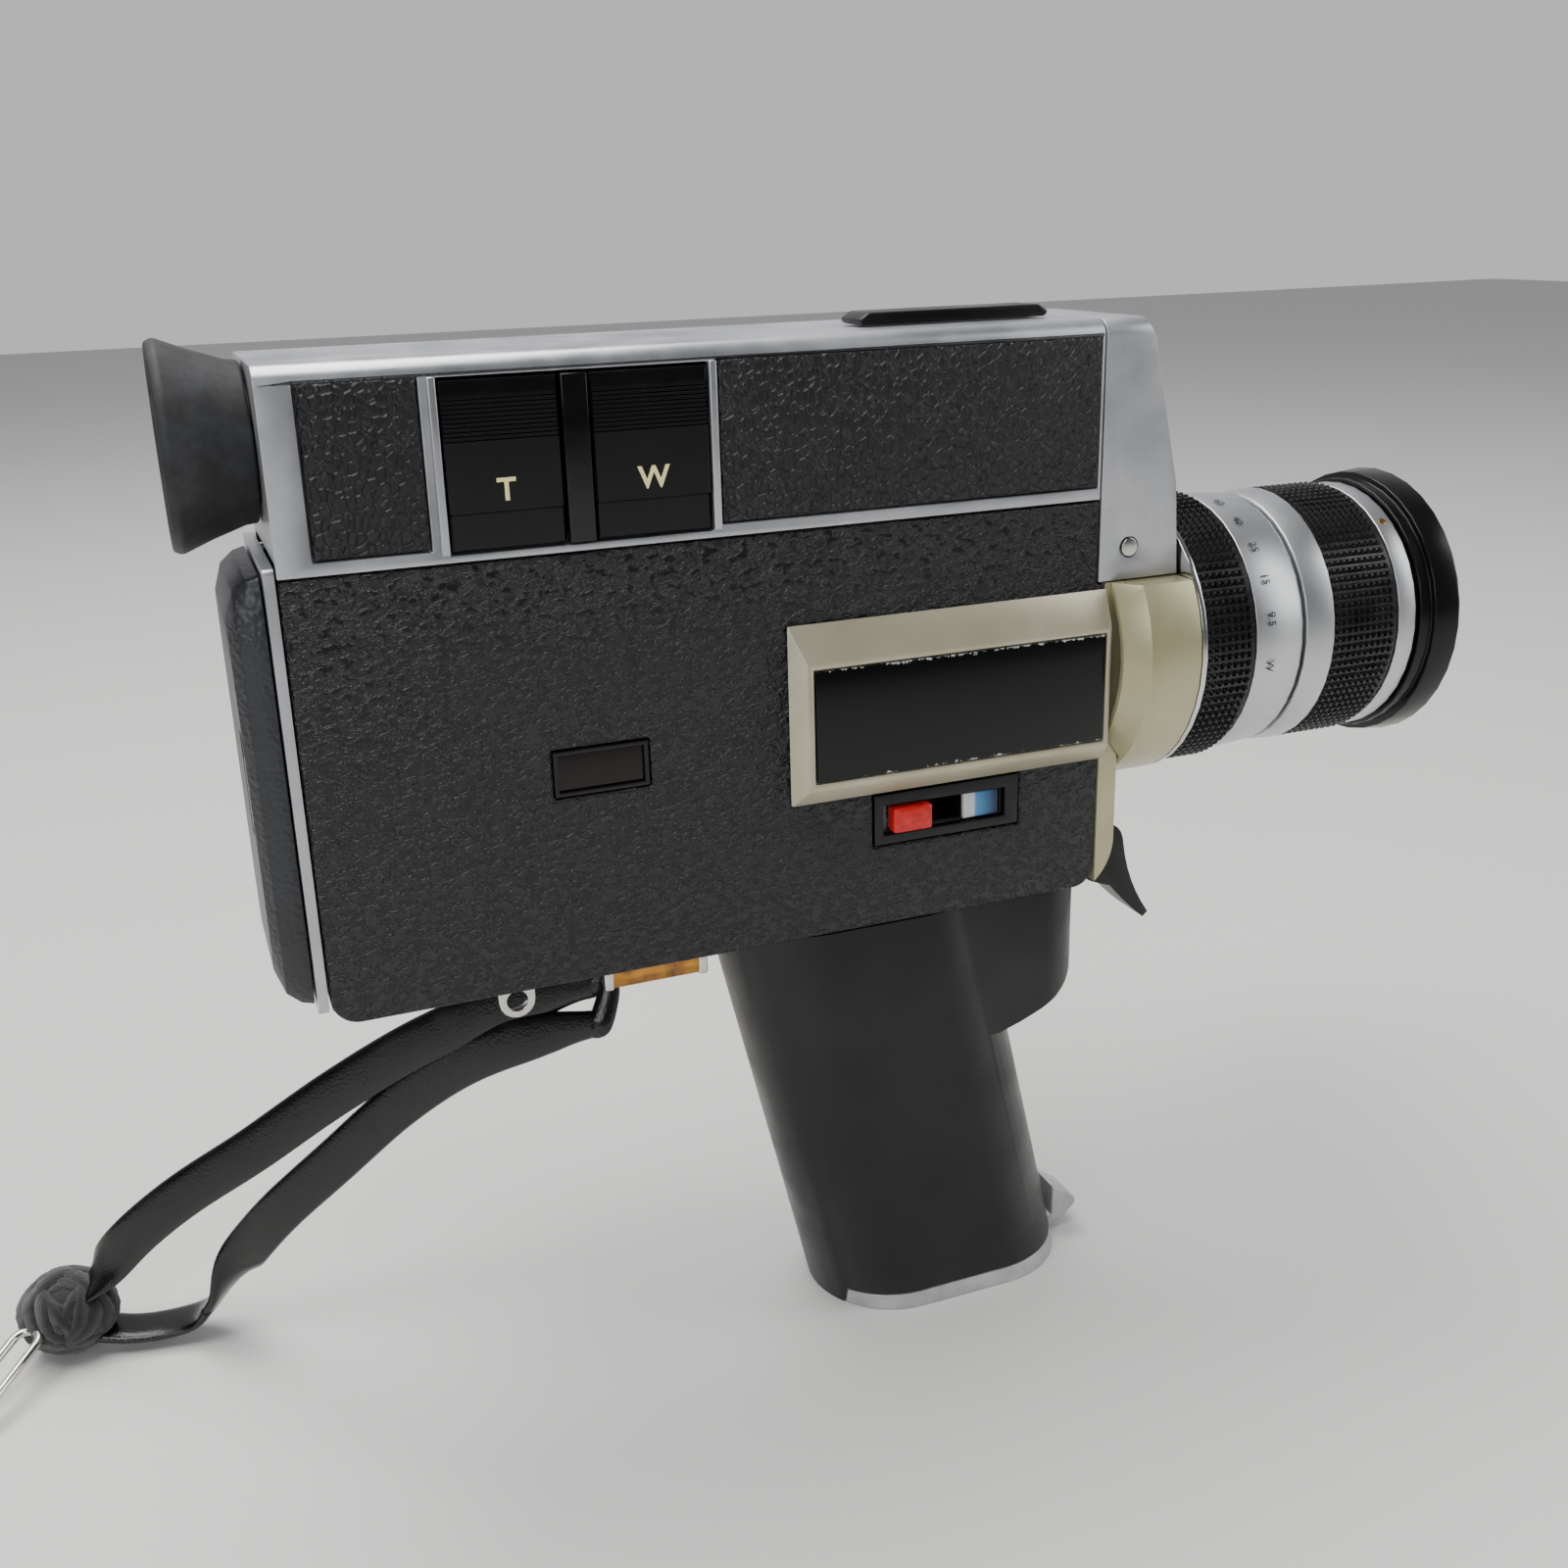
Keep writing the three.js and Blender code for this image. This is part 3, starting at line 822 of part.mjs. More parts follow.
function strap() {
  const barZ1 = BOTTOM_Z - GAP;
  const barY0 = STRAP_BAR.y - STRAP_BAR.width / 2;
  const bar = block(STRAP_BAR.x0, STRAP_BAR.x1, barY0, barY0 + STRAP_BAR.width, barZ1 - STRAP_BAR.high, barZ1);
  add('amber_bar', bar, amber);

  const ringZ = barZ1 - EYELET.r;
  const eye = new THREE.Shape().absarc(EYELET.x, ringZ, EYELET.r, 0, 2 * Math.PI);
  const foot = outline([[EYELET.x - EYELET.r, ringZ], [EYELET.x + EYELET.r, ringZ], [EYELET.x + EYELET.r, barZ1],
    [EYELET.x - EYELET.r, barZ1]]);
  const y0 = EYELET.y - EYELET.thick / 2;
  const y1 = EYELET.y + EYELET.thick / 2;
  const hole = rodY(EYELET.hole, y0 - PAST, y1 + PAST, EYELET.x, ringZ, 14);
  add('strap_eyelet', cut(join(plateY(eye, y0, y1, 8), plateY(foot, y0, y1)), hole), bareSilver);

  const knot = (spare) => solid(new THREE.SphereGeometry(1, 18, 12)
    .scale(KEEPER.rx + spare, KEEPER.ry + spare, KEEPER.rz + spare).translate(KEEPER.x, KEEPER.y, KEEPER.z));
  add('strap_upper', cut(run(UPPER_RUN), knot(GAP)), strapBlack);
  add('strap_lower', cut(run(LOWER_RUN), knot(GAP)), strapBlack);
  add('strap_keeper', knot(0), keeperCloth);

  const half = LINK.width / 2;
  const loop = (inset) => rounded(-LINK.length + inset, -inset, -half + inset, half - inset,
    [half - inset, half - inset, half - inset, half - inset]);
  const ring = cut(plateZ(loop(0), 0, LINK.wire), plateZ(loop(LINK.wire), -PAST, LINK.wire + PAST));
  const placed = ring.rotate([0, -14, 0]).rotate([0, 0, 52]).translate([KEEPER.x - 5.4, KEEPER.y - 4.2, 8.6]);
  add('strap_link', cut(placed, knot(GAP)), bareSilver);
}

chassis();
mechanism();
covers();
selector();
bezels();
frontPlate();
trigger();
housing();
leatherPanel('rear_leather_right', -1, LEATHER_X0, LEATHER_X0 + REAR_LEATHER_LENGTH);
leatherPanel('front_leather_right', -1, KEYS_X1 + KEYS_TO_LEATHER, LEATHER_X1);
leatherPanel('leather_left', 1, LEATHER_X0, LEATHER_X1);
frontCap();
keys();
topStrip();
eyepiece();
rearDoor();
lensParts();
grip();
cells();
strap();

export default camera;
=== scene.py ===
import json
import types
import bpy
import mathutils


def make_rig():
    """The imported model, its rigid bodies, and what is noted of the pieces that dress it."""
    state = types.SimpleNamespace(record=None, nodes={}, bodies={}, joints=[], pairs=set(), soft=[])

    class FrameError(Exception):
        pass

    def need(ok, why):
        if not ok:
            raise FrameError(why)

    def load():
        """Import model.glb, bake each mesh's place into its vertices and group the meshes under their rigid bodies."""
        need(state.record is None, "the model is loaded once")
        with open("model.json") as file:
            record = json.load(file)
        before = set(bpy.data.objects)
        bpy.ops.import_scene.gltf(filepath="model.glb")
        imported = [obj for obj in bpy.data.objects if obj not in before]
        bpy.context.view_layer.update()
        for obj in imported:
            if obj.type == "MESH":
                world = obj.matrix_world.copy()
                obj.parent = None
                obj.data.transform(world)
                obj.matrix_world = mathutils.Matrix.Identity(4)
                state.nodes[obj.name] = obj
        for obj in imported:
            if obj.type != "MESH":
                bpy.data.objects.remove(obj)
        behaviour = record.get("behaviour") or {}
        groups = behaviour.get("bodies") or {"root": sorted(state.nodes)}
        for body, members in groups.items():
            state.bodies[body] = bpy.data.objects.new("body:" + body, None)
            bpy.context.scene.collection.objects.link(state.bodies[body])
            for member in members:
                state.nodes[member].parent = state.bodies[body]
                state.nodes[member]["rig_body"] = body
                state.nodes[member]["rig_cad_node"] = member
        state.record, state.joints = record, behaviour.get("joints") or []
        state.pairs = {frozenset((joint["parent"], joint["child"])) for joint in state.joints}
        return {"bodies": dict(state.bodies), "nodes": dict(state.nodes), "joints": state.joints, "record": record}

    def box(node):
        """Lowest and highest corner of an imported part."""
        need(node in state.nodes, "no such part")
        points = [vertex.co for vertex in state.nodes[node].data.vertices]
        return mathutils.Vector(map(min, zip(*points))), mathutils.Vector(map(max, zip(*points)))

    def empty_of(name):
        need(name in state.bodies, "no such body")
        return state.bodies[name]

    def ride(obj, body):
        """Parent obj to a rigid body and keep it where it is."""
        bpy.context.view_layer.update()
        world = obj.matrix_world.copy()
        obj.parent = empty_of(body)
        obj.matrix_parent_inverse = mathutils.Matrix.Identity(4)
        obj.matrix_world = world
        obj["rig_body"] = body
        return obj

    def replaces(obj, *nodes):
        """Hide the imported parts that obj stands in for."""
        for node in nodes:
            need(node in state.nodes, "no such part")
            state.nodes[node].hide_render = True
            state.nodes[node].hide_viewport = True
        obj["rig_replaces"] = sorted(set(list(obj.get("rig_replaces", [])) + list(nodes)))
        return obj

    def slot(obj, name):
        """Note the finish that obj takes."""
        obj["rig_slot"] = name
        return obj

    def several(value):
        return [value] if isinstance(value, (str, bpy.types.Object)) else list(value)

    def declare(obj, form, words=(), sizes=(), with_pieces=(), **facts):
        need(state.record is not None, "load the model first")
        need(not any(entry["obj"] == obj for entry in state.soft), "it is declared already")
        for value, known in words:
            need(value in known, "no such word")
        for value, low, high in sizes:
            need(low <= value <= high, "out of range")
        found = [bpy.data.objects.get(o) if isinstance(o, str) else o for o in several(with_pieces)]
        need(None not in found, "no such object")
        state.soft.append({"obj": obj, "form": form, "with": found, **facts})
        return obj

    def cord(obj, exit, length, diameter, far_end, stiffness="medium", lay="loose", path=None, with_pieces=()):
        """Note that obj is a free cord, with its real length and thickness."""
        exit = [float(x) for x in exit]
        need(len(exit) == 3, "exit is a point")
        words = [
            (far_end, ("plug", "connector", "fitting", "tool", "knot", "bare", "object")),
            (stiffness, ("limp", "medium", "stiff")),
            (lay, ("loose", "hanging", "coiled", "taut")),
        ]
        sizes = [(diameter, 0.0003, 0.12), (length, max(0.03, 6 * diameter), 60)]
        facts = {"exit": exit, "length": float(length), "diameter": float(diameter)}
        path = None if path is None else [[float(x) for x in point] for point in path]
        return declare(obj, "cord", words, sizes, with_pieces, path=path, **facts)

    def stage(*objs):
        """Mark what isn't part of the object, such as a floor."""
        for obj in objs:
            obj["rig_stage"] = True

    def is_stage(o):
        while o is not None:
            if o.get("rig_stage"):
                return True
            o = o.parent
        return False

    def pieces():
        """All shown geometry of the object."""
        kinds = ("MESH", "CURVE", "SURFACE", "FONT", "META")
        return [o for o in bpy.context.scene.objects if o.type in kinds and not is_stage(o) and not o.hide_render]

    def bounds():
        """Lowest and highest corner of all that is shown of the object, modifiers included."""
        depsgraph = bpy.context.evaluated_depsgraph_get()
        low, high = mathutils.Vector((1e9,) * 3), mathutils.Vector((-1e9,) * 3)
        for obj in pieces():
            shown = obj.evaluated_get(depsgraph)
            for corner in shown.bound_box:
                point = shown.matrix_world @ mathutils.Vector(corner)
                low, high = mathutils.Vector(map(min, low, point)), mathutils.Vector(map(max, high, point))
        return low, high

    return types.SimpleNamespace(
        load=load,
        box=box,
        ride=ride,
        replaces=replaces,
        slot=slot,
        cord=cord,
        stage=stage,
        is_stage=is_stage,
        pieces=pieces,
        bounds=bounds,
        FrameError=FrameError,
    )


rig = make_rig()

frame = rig.load()
cad_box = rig.bounds()

import json
from math import cos, hypot, pi, radians, sin

import bmesh
import bpy
from mathutils import Matrix, Vector

MM = 0.001  # every size below is in millimetres, and this turns it to metres


# ---- Camera, floor and light ----
# The cine camera stands on a pale table, seen from its right-hand side, a little from above and behind.
# A wide soft box hangs over it, with weaker ones to the front and to the lens side.
def put(name, data):
    obj = bpy.data.objects.new(name, data)
    bpy.context.scene.collection.objects.link(obj)
    return obj


def hex_colour(code):
    """A linear RGBA colour from an sRGB hex value."""
    parts = [int(code[i:i + 2], 16) / 255 for i in (1, 3, 5)]
    return [c / 12.92 if c <= 0.04045 else ((c + 0.055) / 1.055) ** 2.4 for c in parts] + [1]


def node(tree, kind, links=None, stops=(), to=None, **settings):
    """Adds a node. A key of links is a socket; its value is a number, a colour, a node or one of its outputs.

    stops are a colour ramp's (position, hex) pairs, its two ends first. The node feeds the socket in to.
    """
    made = tree.nodes.new("ShaderNode" + kind)
    for name, value in settings.items():
        setattr(made, name, value)
    for socket, value in (links or {}).items():
        if isinstance(value, bpy.types.Node):
            value = value.outputs[0]
        if isinstance(value, bpy.types.NodeSocket):
            tree.links.new(value, made.inputs[socket])
        else:
            made.inputs[socket].default_value = value
    for i, (position, code) in enumerate(stops):
        stop = made.color_ramp.elements[i] if i < 2 else made.color_ramp.elements.new(position)
        stop.position = position
        stop.color = hex_colour(code)
    if to is not None:
        tree.links.new(made.outputs[0], to)
    return made


def material(name, code, roughness, metallic=0.0, **sockets):
    """A new material and its tree, with the shader's plain values set. Socket names use _ for a space."""
    made = bpy.data.materials.new(name)
    made.use_nodes = True
    shader = made.node_tree.nodes["Principled BSDF"]
    shader.inputs["Base Color"].default_value = hex_colour(code)
    shader.inputs["Roughness"].default_value = roughness
    shader.inputs["Metallic"].default_value = metallic
    for socket, value in sockets.items():
        shader.inputs[socket.replace("_", " ")].default_value = value
    return made, made.node_tree, shader


FRAME_WIDTH = 1600
FOCAL = 1689  # focal length in the same unit as the frame's width
view_right = Vector((0.92967, -0.36749, -0.02604))
view_up = Vector((0.14358, 0.29629, 0.94425))
view_back = view_right.cross(view_up)
lens_data = bpy.data.cameras.new("camera")
lens_data.sensor_width = 36
lens_data.lens = lens_data.sensor_width * FOCAL / FRAME_WIDTH
lens_data.clip_start = 0.01
camera = put("camera", lens_data)
CAMERA_AT = (-0.1297, -0.2633, 0.2045)
camera.matrix_world = Matrix.Translation(CAMERA_AT) @ Matrix(
    [[view_right[i], view_up[i], view_back[i]] for i in range(3)]).to_4x4()
bpy.context.scene.camera = camera

floor_mesh = bpy.data.meshes.new("table")
floor_mesh.from_pydata([(-3, -3, 0), (3, -3, 0), (3, 3, 0), (-3, 3, 0)], [], [(0, 1, 2, 3)])
floor = put("table", floor_mesh)
table_paint, _, _ = material("white_laminate", "#d9d8d6", 0.45)
floor_mesh.materials.append(table_paint)
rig.stage(floor)

world = bpy.data.worlds.new("room")
bpy.context.scene.world = world
world.use_nodes = True
room_light = world.node_tree.nodes["Background"]
room_way = node(world.node_tree, "TexCoord")
room_parts = node(world.node_tree, "SeparateXYZ", {0: room_way.outputs["Generated"]})
node(world.node_tree, "ValToRGB", {"Fac": room_parts.outputs["Y"]},
     stops=[(0.0, "#6d6e72"), (0.6, "#dcdce0")], to=room_light.inputs["Color"])
room_light.inputs["Strength"].default_value = 0.85


def soft_box(name, place, aim, width, height, watts, code):
    data = bpy.data.lights.new(name, "AREA")
    data.shape = "RECTANGLE"
    data.size = width
    data.size_y = height
    data.energy = watts
    data.color = hex_colour(code)[:3]
    lamp = put(name, data)
    lamp.location = place
    lamp.rotation_euler = (Vector(aim) - Vector(place)).to_track_quat("-Z", "Y").to_euler()


soft_box("overhead", (-0.25, 0.1, 1.15), (0, 0, 0.1), 1.3, 0.7, 24, "#fffdfa")
soft_box("front_fill", (-0.8, -1.0, 0.55), (0, 0, 0.1), 0.5, 0.5, 5.0, "#f6f9ff")
soft_box("lens_side", (1.1, -0.5, 0.6), (0.03, 0, 0.12), 0.5, 0.9, 5.5, "#ffffff")


# ---- Wrist strap ----
# A flat black vinyl strap, folded double: both runs leave the bar under the body, hang in a long sag and
# lie down on the table, where a knot of black cord holds them. It is cut from sheet with rolled edges.
def meshed(name, verts, faces):
    mesh = bpy.data.meshes.new(name)
    mesh.from_pydata([tuple(v) for v in verts], [], faces)
    mesh.validate()
    bm = bmesh.new()
    bm.from_mesh(mesh)
    bmesh.ops.recalc_face_normals(bm, faces=bm.faces)
    bm.to_mesh(mesh)
    bm.free()
    return mesh


def piece(name, mesh, finish, body, slot, nodes=(), crease=32):
    """A mesh in its finish, riding on its body in place of its CAD nodes, smooth but for its sharp edges."""
    obj = put(name, mesh)
    mesh.materials.append(finish)
    mesh.polygons.foreach_set("use_smooth", [True] * len(mesh.polygons))
    mesh.set_sharp_from_angle(angle=radians(crease))
    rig.slot(obj, slot)
    if nodes:
        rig.replaces(obj, *nodes)
    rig.ride(obj, body)
    return obj


def smooth_path(points, steps):
    """Points spaced along a smooth curve through the given ones."""
    known = [Vector(p) for p in points]
    known = [2 * known[0] - known[1]] + known + [2 * known[-1] - known[-2]]
    path = []
    for i in range(1, len(known) - 2):
        a, b, c, d = known[i - 1:i + 3]
        for k in range(steps):
            t = k / steps
            path.append(0.5 * (2 * b + (c - a) * t + (2 * a - 5 * b + 4 * c - d) * t ** 2
                               + (3 * b - a - 3 * c + d) * t ** 3))
    return path + [known[-2]]


def swept(name, path, sides, section):
    """A closed tube: section gives the points round it for each place, from the place's two cross vectors."""
    verts, faces = [], []
    for i, point in enumerate(path):
        along = (path[min(i + 1, len(path) - 1)] - path[max(i - 1, 0)]).normalized()
        verts += section(point, along, i / (len(path) - 1))
    for i in range(len(path) - 1):
        for k in range(sides):
            j = (k + 1) % sides
            faces.append((i * sides + k, i * sides + j, (i + 1) * sides + j, (i + 1) * sides + k))
    last = (len(path) - 1) * sides
    faces += [tuple(range(sides))[::-1], tuple(range(last, last + sides))]
    return meshed(name, verts, faces)


STRAP_WIDTH = 8.6 * MM
STRAP_THICK = 2.1 * MM
STRAP_SIDES = 20
GATHERED_WIDTH = 0.55  # the strap is gathered narrower where it passes round the bar
GATHERED_SHARE = 0.16
STRAP_FACES = Vector((-0.34, -0.9, 0.28))  # the way the strap's broad face looks while it hangs


def strap_section(point, along, share):
    """The strap's section: a long oval, stood up where the strap hangs and turned flat where it lies."""
    hanging = along.cross(STRAP_FACES).normalized()
    lying = along.cross(Vector((0, 0, 1))).normalized()
    if lying.dot(hanging) < 0:
        lying = -lying
    turn = min(max((24 * MM - point.z) / (15 * MM), 0), 1)
    gather = min(share / GATHERED_SHARE, 1)
    width = STRAP_WIDTH * (GATHERED_WIDTH + (1 - GATHERED_WIDTH) * gather * gather * (3 - 2 * gather))
    across = hanging.lerp(lying, turn * turn * (3 - 2 * turn)).normalized()
    normal = along.cross(across).normalized()
    ring = []
    for k in range(STRAP_SIDES):
        angle = 2 * pi * k / STRAP_SIDES
        u = abs(cos(angle)) ** 0.55 * (1 if cos(angle) > 0 else -1)
        v = abs(sin(angle)) ** 0.8 * (1 if sin(angle) > 0 else -1)
        ring.append(point + across * (u * width / 2) + normal * (v * STRAP_THICK / 2))
    return ring


# Vinyl, cast on a cloth core and polished by years of handling: dark, glossy, with faint long creases.
def strap_vinyl():
    made, tree, shader = material("pvc_strap", "#050506", 0.2, Specular_IOR_Level=0.45)
    place = node(tree, "TexCoord").outputs["Object"]
    crease_length = 9 * MM
    creases = node(tree, "TexNoise", {"Vector": place, "Scale": 1 / crease_length, "Detail": 6})
    pores = node(tree, "TexNoise", {"Vector": place, "Scale": 1 / (0.5 * MM), "Detail": 3})
    both = node(tree, "Math", {0: creases, 1: pores}, operation="ADD")
    node(tree, "Bump", {"Height": both, "Strength": 0.22, "Distance": 0.35 * MM},
         to=shader.inputs["Normal"])
    node(tree, "MapRange", {"Value": creases, "From Min": 0.35, "From Max": 0.7, "To Min": 0.14,
                            "To Max": 0.34}, to=shader.inputs["Roughness"])
    return made


UPPER_RUN = [(-68.6, -10, 79.2), (-76, -5.5, 77), (-86, 0.5, 72.3), (-98, 7, 65.4), (-112, 14, 55.4),
             (-127, 20.5, 43.8), (-140, 26.5, 34.2), (-150, 31, 25.2), (-157.5, 34.8, 16), (-162, 36.6, 10)]
LOWER_RUN = [(-68.6, -13.6, 73.5), (-75, -8.5, 71), (-83, -3, 67.4), (-92, 3, 61.6), (-102, 9, 52.8),
             (-113, 14.6, 41.4), (-124, 20.4, 29.8), (-131.5, 25.4, 19.4), (-136, 29, 10.6), (-140, 31.4, 5),
             (-146, 33, 3.1), (-153, 34.2, 3.1), (-160, 36, 4.4)]
vinyl = strap_vinyl()
strap_runs = []
for strap_name, cad_node, route in (("strap_run_upper", "strap_upper", UPPER_RUN),
                                    ("strap_run_lower", "strap_lower", LOWER_RUN)):
    strap_path = smooth_path([Vector(p) * MM for p in route], 8)
    strap_mesh = swept(strap_name, strap_path, STRAP_SIDES, strap_section)
    strap_obj = piece(strap_name, strap_mesh, vinyl, "camera_body", "strap_vinyl", [cad_node], 60)
    strap_runs.append((strap_obj, strap_path))


# ---- Knot and wire link ----
# The knot is fuzzy black cord wound tight round both runs. A bright steel wire link passes out of it, which
# the hand loop hangs on. The cord is a soft ball of overlapping turns, and the link is one bent wire.
def cord_turn(centre, radii, tilt, spin, thick, sides=10, steps=64):
    """One turn of cord wound round a ball, as a closed ring."""
    verts, faces = [], []
    turn = Matrix.Rotation(spin, 3, "Z") @ Matrix.Rotation(tilt, 3, "X")
    for i in range(steps):
        angle = 2 * pi * i / steps
        ring_middle = turn @ Vector((cos(angle), sin(angle), 0.10 * sin(3 * angle + spin)))
        out = ring_middle.normalized()
        along = turn @ Vector((-sin(angle), cos(angle), 0))
        side = along.cross(out).normalized()
        place = centre + Vector([ring_middle[k] * (radii[k] - thick) for k in range(3)])
        for k in range(sides):
            round_angle = 2 * pi * k / sides
            fuzz = 1 + 0.10 * sin(5 * round_angle + 17 * angle) * cos(23 * angle)
            verts.append(place + (out * cos(round_angle) + side * sin(round_angle)) * thick * fuzz)
    for i in range(steps):
        for k in range(sides):
            a, b = i * sides, ((i + 1) % steps) * sides
            j = (k + 1) % sides
            faces.append((a + k, a + j, b + j, b + k))
    return verts, faces


def gathered(name, parts):
    """One mesh from several lists of vertices and faces."""
    verts, faces = [], []
    for part_verts, part_faces in parts:
        faces += [tuple(i + len(verts) for i in face) for face in part_faces]
        verts += part_verts
    return meshed(name, verts, faces)


knot_low, knot_high = [Vector(corner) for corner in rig.box("strap_keeper")]
knot_middle = (knot_low + knot_high) / 2
knot_radii = (knot_high - knot_low) / 2
knot_turns = []
for i in range(15):
    turn_radii = knot_radii * (0.9 + 0.06 * cos(i * 2.4))
    knot_turns.append(cord_turn(knot_middle, turn_radii, radians(62 + 23 * sin(i * 1.7)), radians(i * 137.5),
                                2.0 * MM))
core = bmesh.new()
bmesh.ops.create_icosphere(core, subdivisions=3, radius=1)
for vert in core.verts:
    vert.co = knot_middle + Vector([vert.co[k] * knot_radii[k] * 0.82 for k in range(3)])
core_verts = [vert.co.copy() for vert in core.verts]
core_faces = [tuple(v.index for v in face.verts) for face in core.faces]
core.free()


# Brushed cotton cord: matt black with a velvet edge of loose fibres, which sheen gives.
def keeper_cord():
    made, tree, shader = material("brushed_cotton_cord", "#08080a", 0.95, Sheen_Weight=0.5,
                                  Sheen_Roughness=0.4)
    place = node(tree, "TexCoord").outputs["Object"]
    fibres = node(tree, "TexNoise", {"Vector": place, "Scale": 1 / (0.35 * MM), "Detail": 8,
                                     "Roughness": 0.75})
    node(tree, "Bump", {"Height": fibres, "Strength": 1.0, "Distance": 0.6 * MM},
         to=shader.inputs["Normal"])
    return made


knot = piece("keeper_knot", gathered("keeper_knot", knot_turns + [(core_verts, core_faces)]), keeper_cord(),
             "camera_body", "keeper_cloth", ["strap_keeper"], 80)

WIRE_R = 0.85 * MM
LINK_HALF = 2.65 * MM
LINK_LENGTH = 24 * MM


def wire_link():
    """One wire bent to a long loop, laid as the CAD link lies."""
    place = (Matrix.Translation(Vector((-169.4, 32.8, 8.6)) * MM) @ Matrix.Rotation(radians(52), 4, "Z")
             @ Matrix.Rotation(radians(-14), 4, "Y"))
    straight = LINK_LENGTH - 2 * LINK_HALF - 2 * WIRE_R
    path = []
    for i in range(13):
        angle = -pi / 2 + pi * i / 12
        path.append((LINK_HALF * cos(angle), LINK_HALF * sin(angle)))
    for i in range(13):
        angle = pi / 2 + pi * i / 12
        path.append((-straight + LINK_HALF * cos(angle), LINK_HALF * sin(angle)))
    verts, faces, sides = [], [], 12
    front = -LINK_HALF - WIRE_R
    for i, (x, y) in enumerate(path):
        x1, y1 = path[(i + 1) % len(path)]
        x0, y0 = path[i - 1]
        along = Vector((x1 - x0, y1 - y0, 0)).normalized()
        side = Vector((along.y, -along.x, 0))
        for k in range(sides):
            angle = 2 * pi * k / sides
            rise = Vector((0, 0, WIRE_R * sin(angle)))
            spot = Vector((front + x, y, WIRE_R)) + side * (WIRE_R * cos(angle)) + rise
            verts.append(place @ spot)
    for i in range(len(path)):
        a, b = i * sides, ((i + 1) % len(path)) * sides
        for k in range(sides):
            j = (k + 1) % sides
            faces.append((a + k, a + j, b + j, b + k))
    return meshed("wire_link", verts, faces)


# Nickel-plated steel wire: a bright, slightly yellow mirror with rubbed patches.
def raised(tree, place, shader, size, detail, strength, depth):
    """A fine relief over the finish: its grain is of the size given, and depth is how far it is bumped."""
    grain = node(tree, "TexNoise", {"Vector": place, "Scale": 1 / size, "Detail": detail})
    node(tree, "Bump", {"Height": grain, "Strength": strength, "Distance": depth},
         to=shader.inputs["Normal"])


def handled(tree, place, shader, size, detail, spread, gloss):
    """Handling marks in patches of the size given; gloss is the two roughnesses that they run between."""
    rub = node(tree, "TexNoise", {"Vector": place, "Scale": 1 / size, "Detail": detail})
    node(tree, "MapRange", {"Value": rub, "From Min": spread[0], "From Max": spread[1], "To Min": gloss[0],
                            "To Max": gloss[1]}, to=shader.inputs["Roughness"])


def nickel_plate():
    made, tree, shader = material("nickel_plated_steel", "#cbc9c4", 0.16, 1.0)
    place = node(tree, "TexCoord").outputs["Object"]
    handled(tree, place, shader, 2.5 * MM, 5, (0.35, 0.7), (0.1, 0.32))
    return made


nickel = nickel_plate()
link = piece("wire_link", wire_link(), nickel, "camera_body", "bright_metal", ["strap_link"], 80)

for (strap_obj, strap_path), pieces_on_it in zip(strap_runs, ([knot, link], [])):
    run_length = sum((b - a).length for a, b in zip(strap_path, strap_path[1:]))
    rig.cord(strap_obj, exit=strap_path[0], length=run_length, diameter=STRAP_WIDTH, far_end="knot",
            stiffness="limp", lay="hanging", path=strap_path, with_pieces=pieces_on_it)


# ---- Strap bar and eyelet ----
# Under the body the strap loops over a short bar of clear amber plastic, which sits between two bright end
# caps. A small bent-wire eyelet hangs behind it. Both are screwed up into the bottom plate.
slot_of = {row["node"]: row["material_slot"] for row in frame["record"]["subparts"]}
body_of = {name: body for body, names in frame["record"]["behaviour"]["bodies"].items() for name in names}


def eased(cad_node, width, least=28, segments=3):
    """A CAD node's shape as a clean mesh, with its sharp edges rolled over by a width in millimetres."""
    bm = bmesh.new()
    bm.from_mesh(frame["nodes"][cad_node].data)
    bmesh.ops.remove_doubles(bm, verts=bm.verts, dist=0.004 * MM)
    bmesh.ops.dissolve_limit(bm, angle_limit=radians(0.5), verts=bm.verts, edges=bm.edges)
    sharp = [edge for edge in bm.edges if edge.is_manifold and edge.calc_face_angle(0) > radians(least)]
    if width:
        bmesh.ops.bevel(bm, geom=sharp, offset=width * MM, offset_type="OFFSET", segments=segments,
                        profile=0.5, affect="EDGES", clamp_overlap=True)
    bmesh.ops.recalc_face_normals(bm, faces=bm.faces)
    mesh = bpy.data.meshes.new(cad_node + "_made")
    bm.to_mesh(mesh)
    bm.free()
    return mesh


def stand_in(cad_node, finish, width=0.3, least=28, segments=3, crease=32):
    """A piece made from one CAD node, with eased edges and its own finish."""
    return piece(cad_node + "_made", eased(cad_node, width, least, segments), finish, body_of[cad_node],
                 slot_of[cad_node], [cad_node], crease)


# Clear amber acrylic: light goes in at the top and glows out along the lower edge, with a darker middle.
def amber_acrylic():
    made, tree, shader = material("amber_acrylic", "#c77708", 0.08, IOR=1.49, Transmission_Weight=0.55)
    place = node(tree, "TexCoord").outputs["Object"]
    swirls = node(tree, "TexNoise", {"Vector": place, "Scale": 1 / (4 * MM), "Detail": 3})
    node(tree, "ValToRGB", {"Fac": swirls}, stops=[(0.38, "#7a3c04"), (0.62, "#f0a714")],
         to=shader.inputs["Base Color"])
    return made


bar_low, bar_high = [Vector(corner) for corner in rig.box("amber_bar")]
stand_in("amber_bar", amber_acrylic(), 0.6)
stand_in("strap_eyelet", nickel, 0.2)


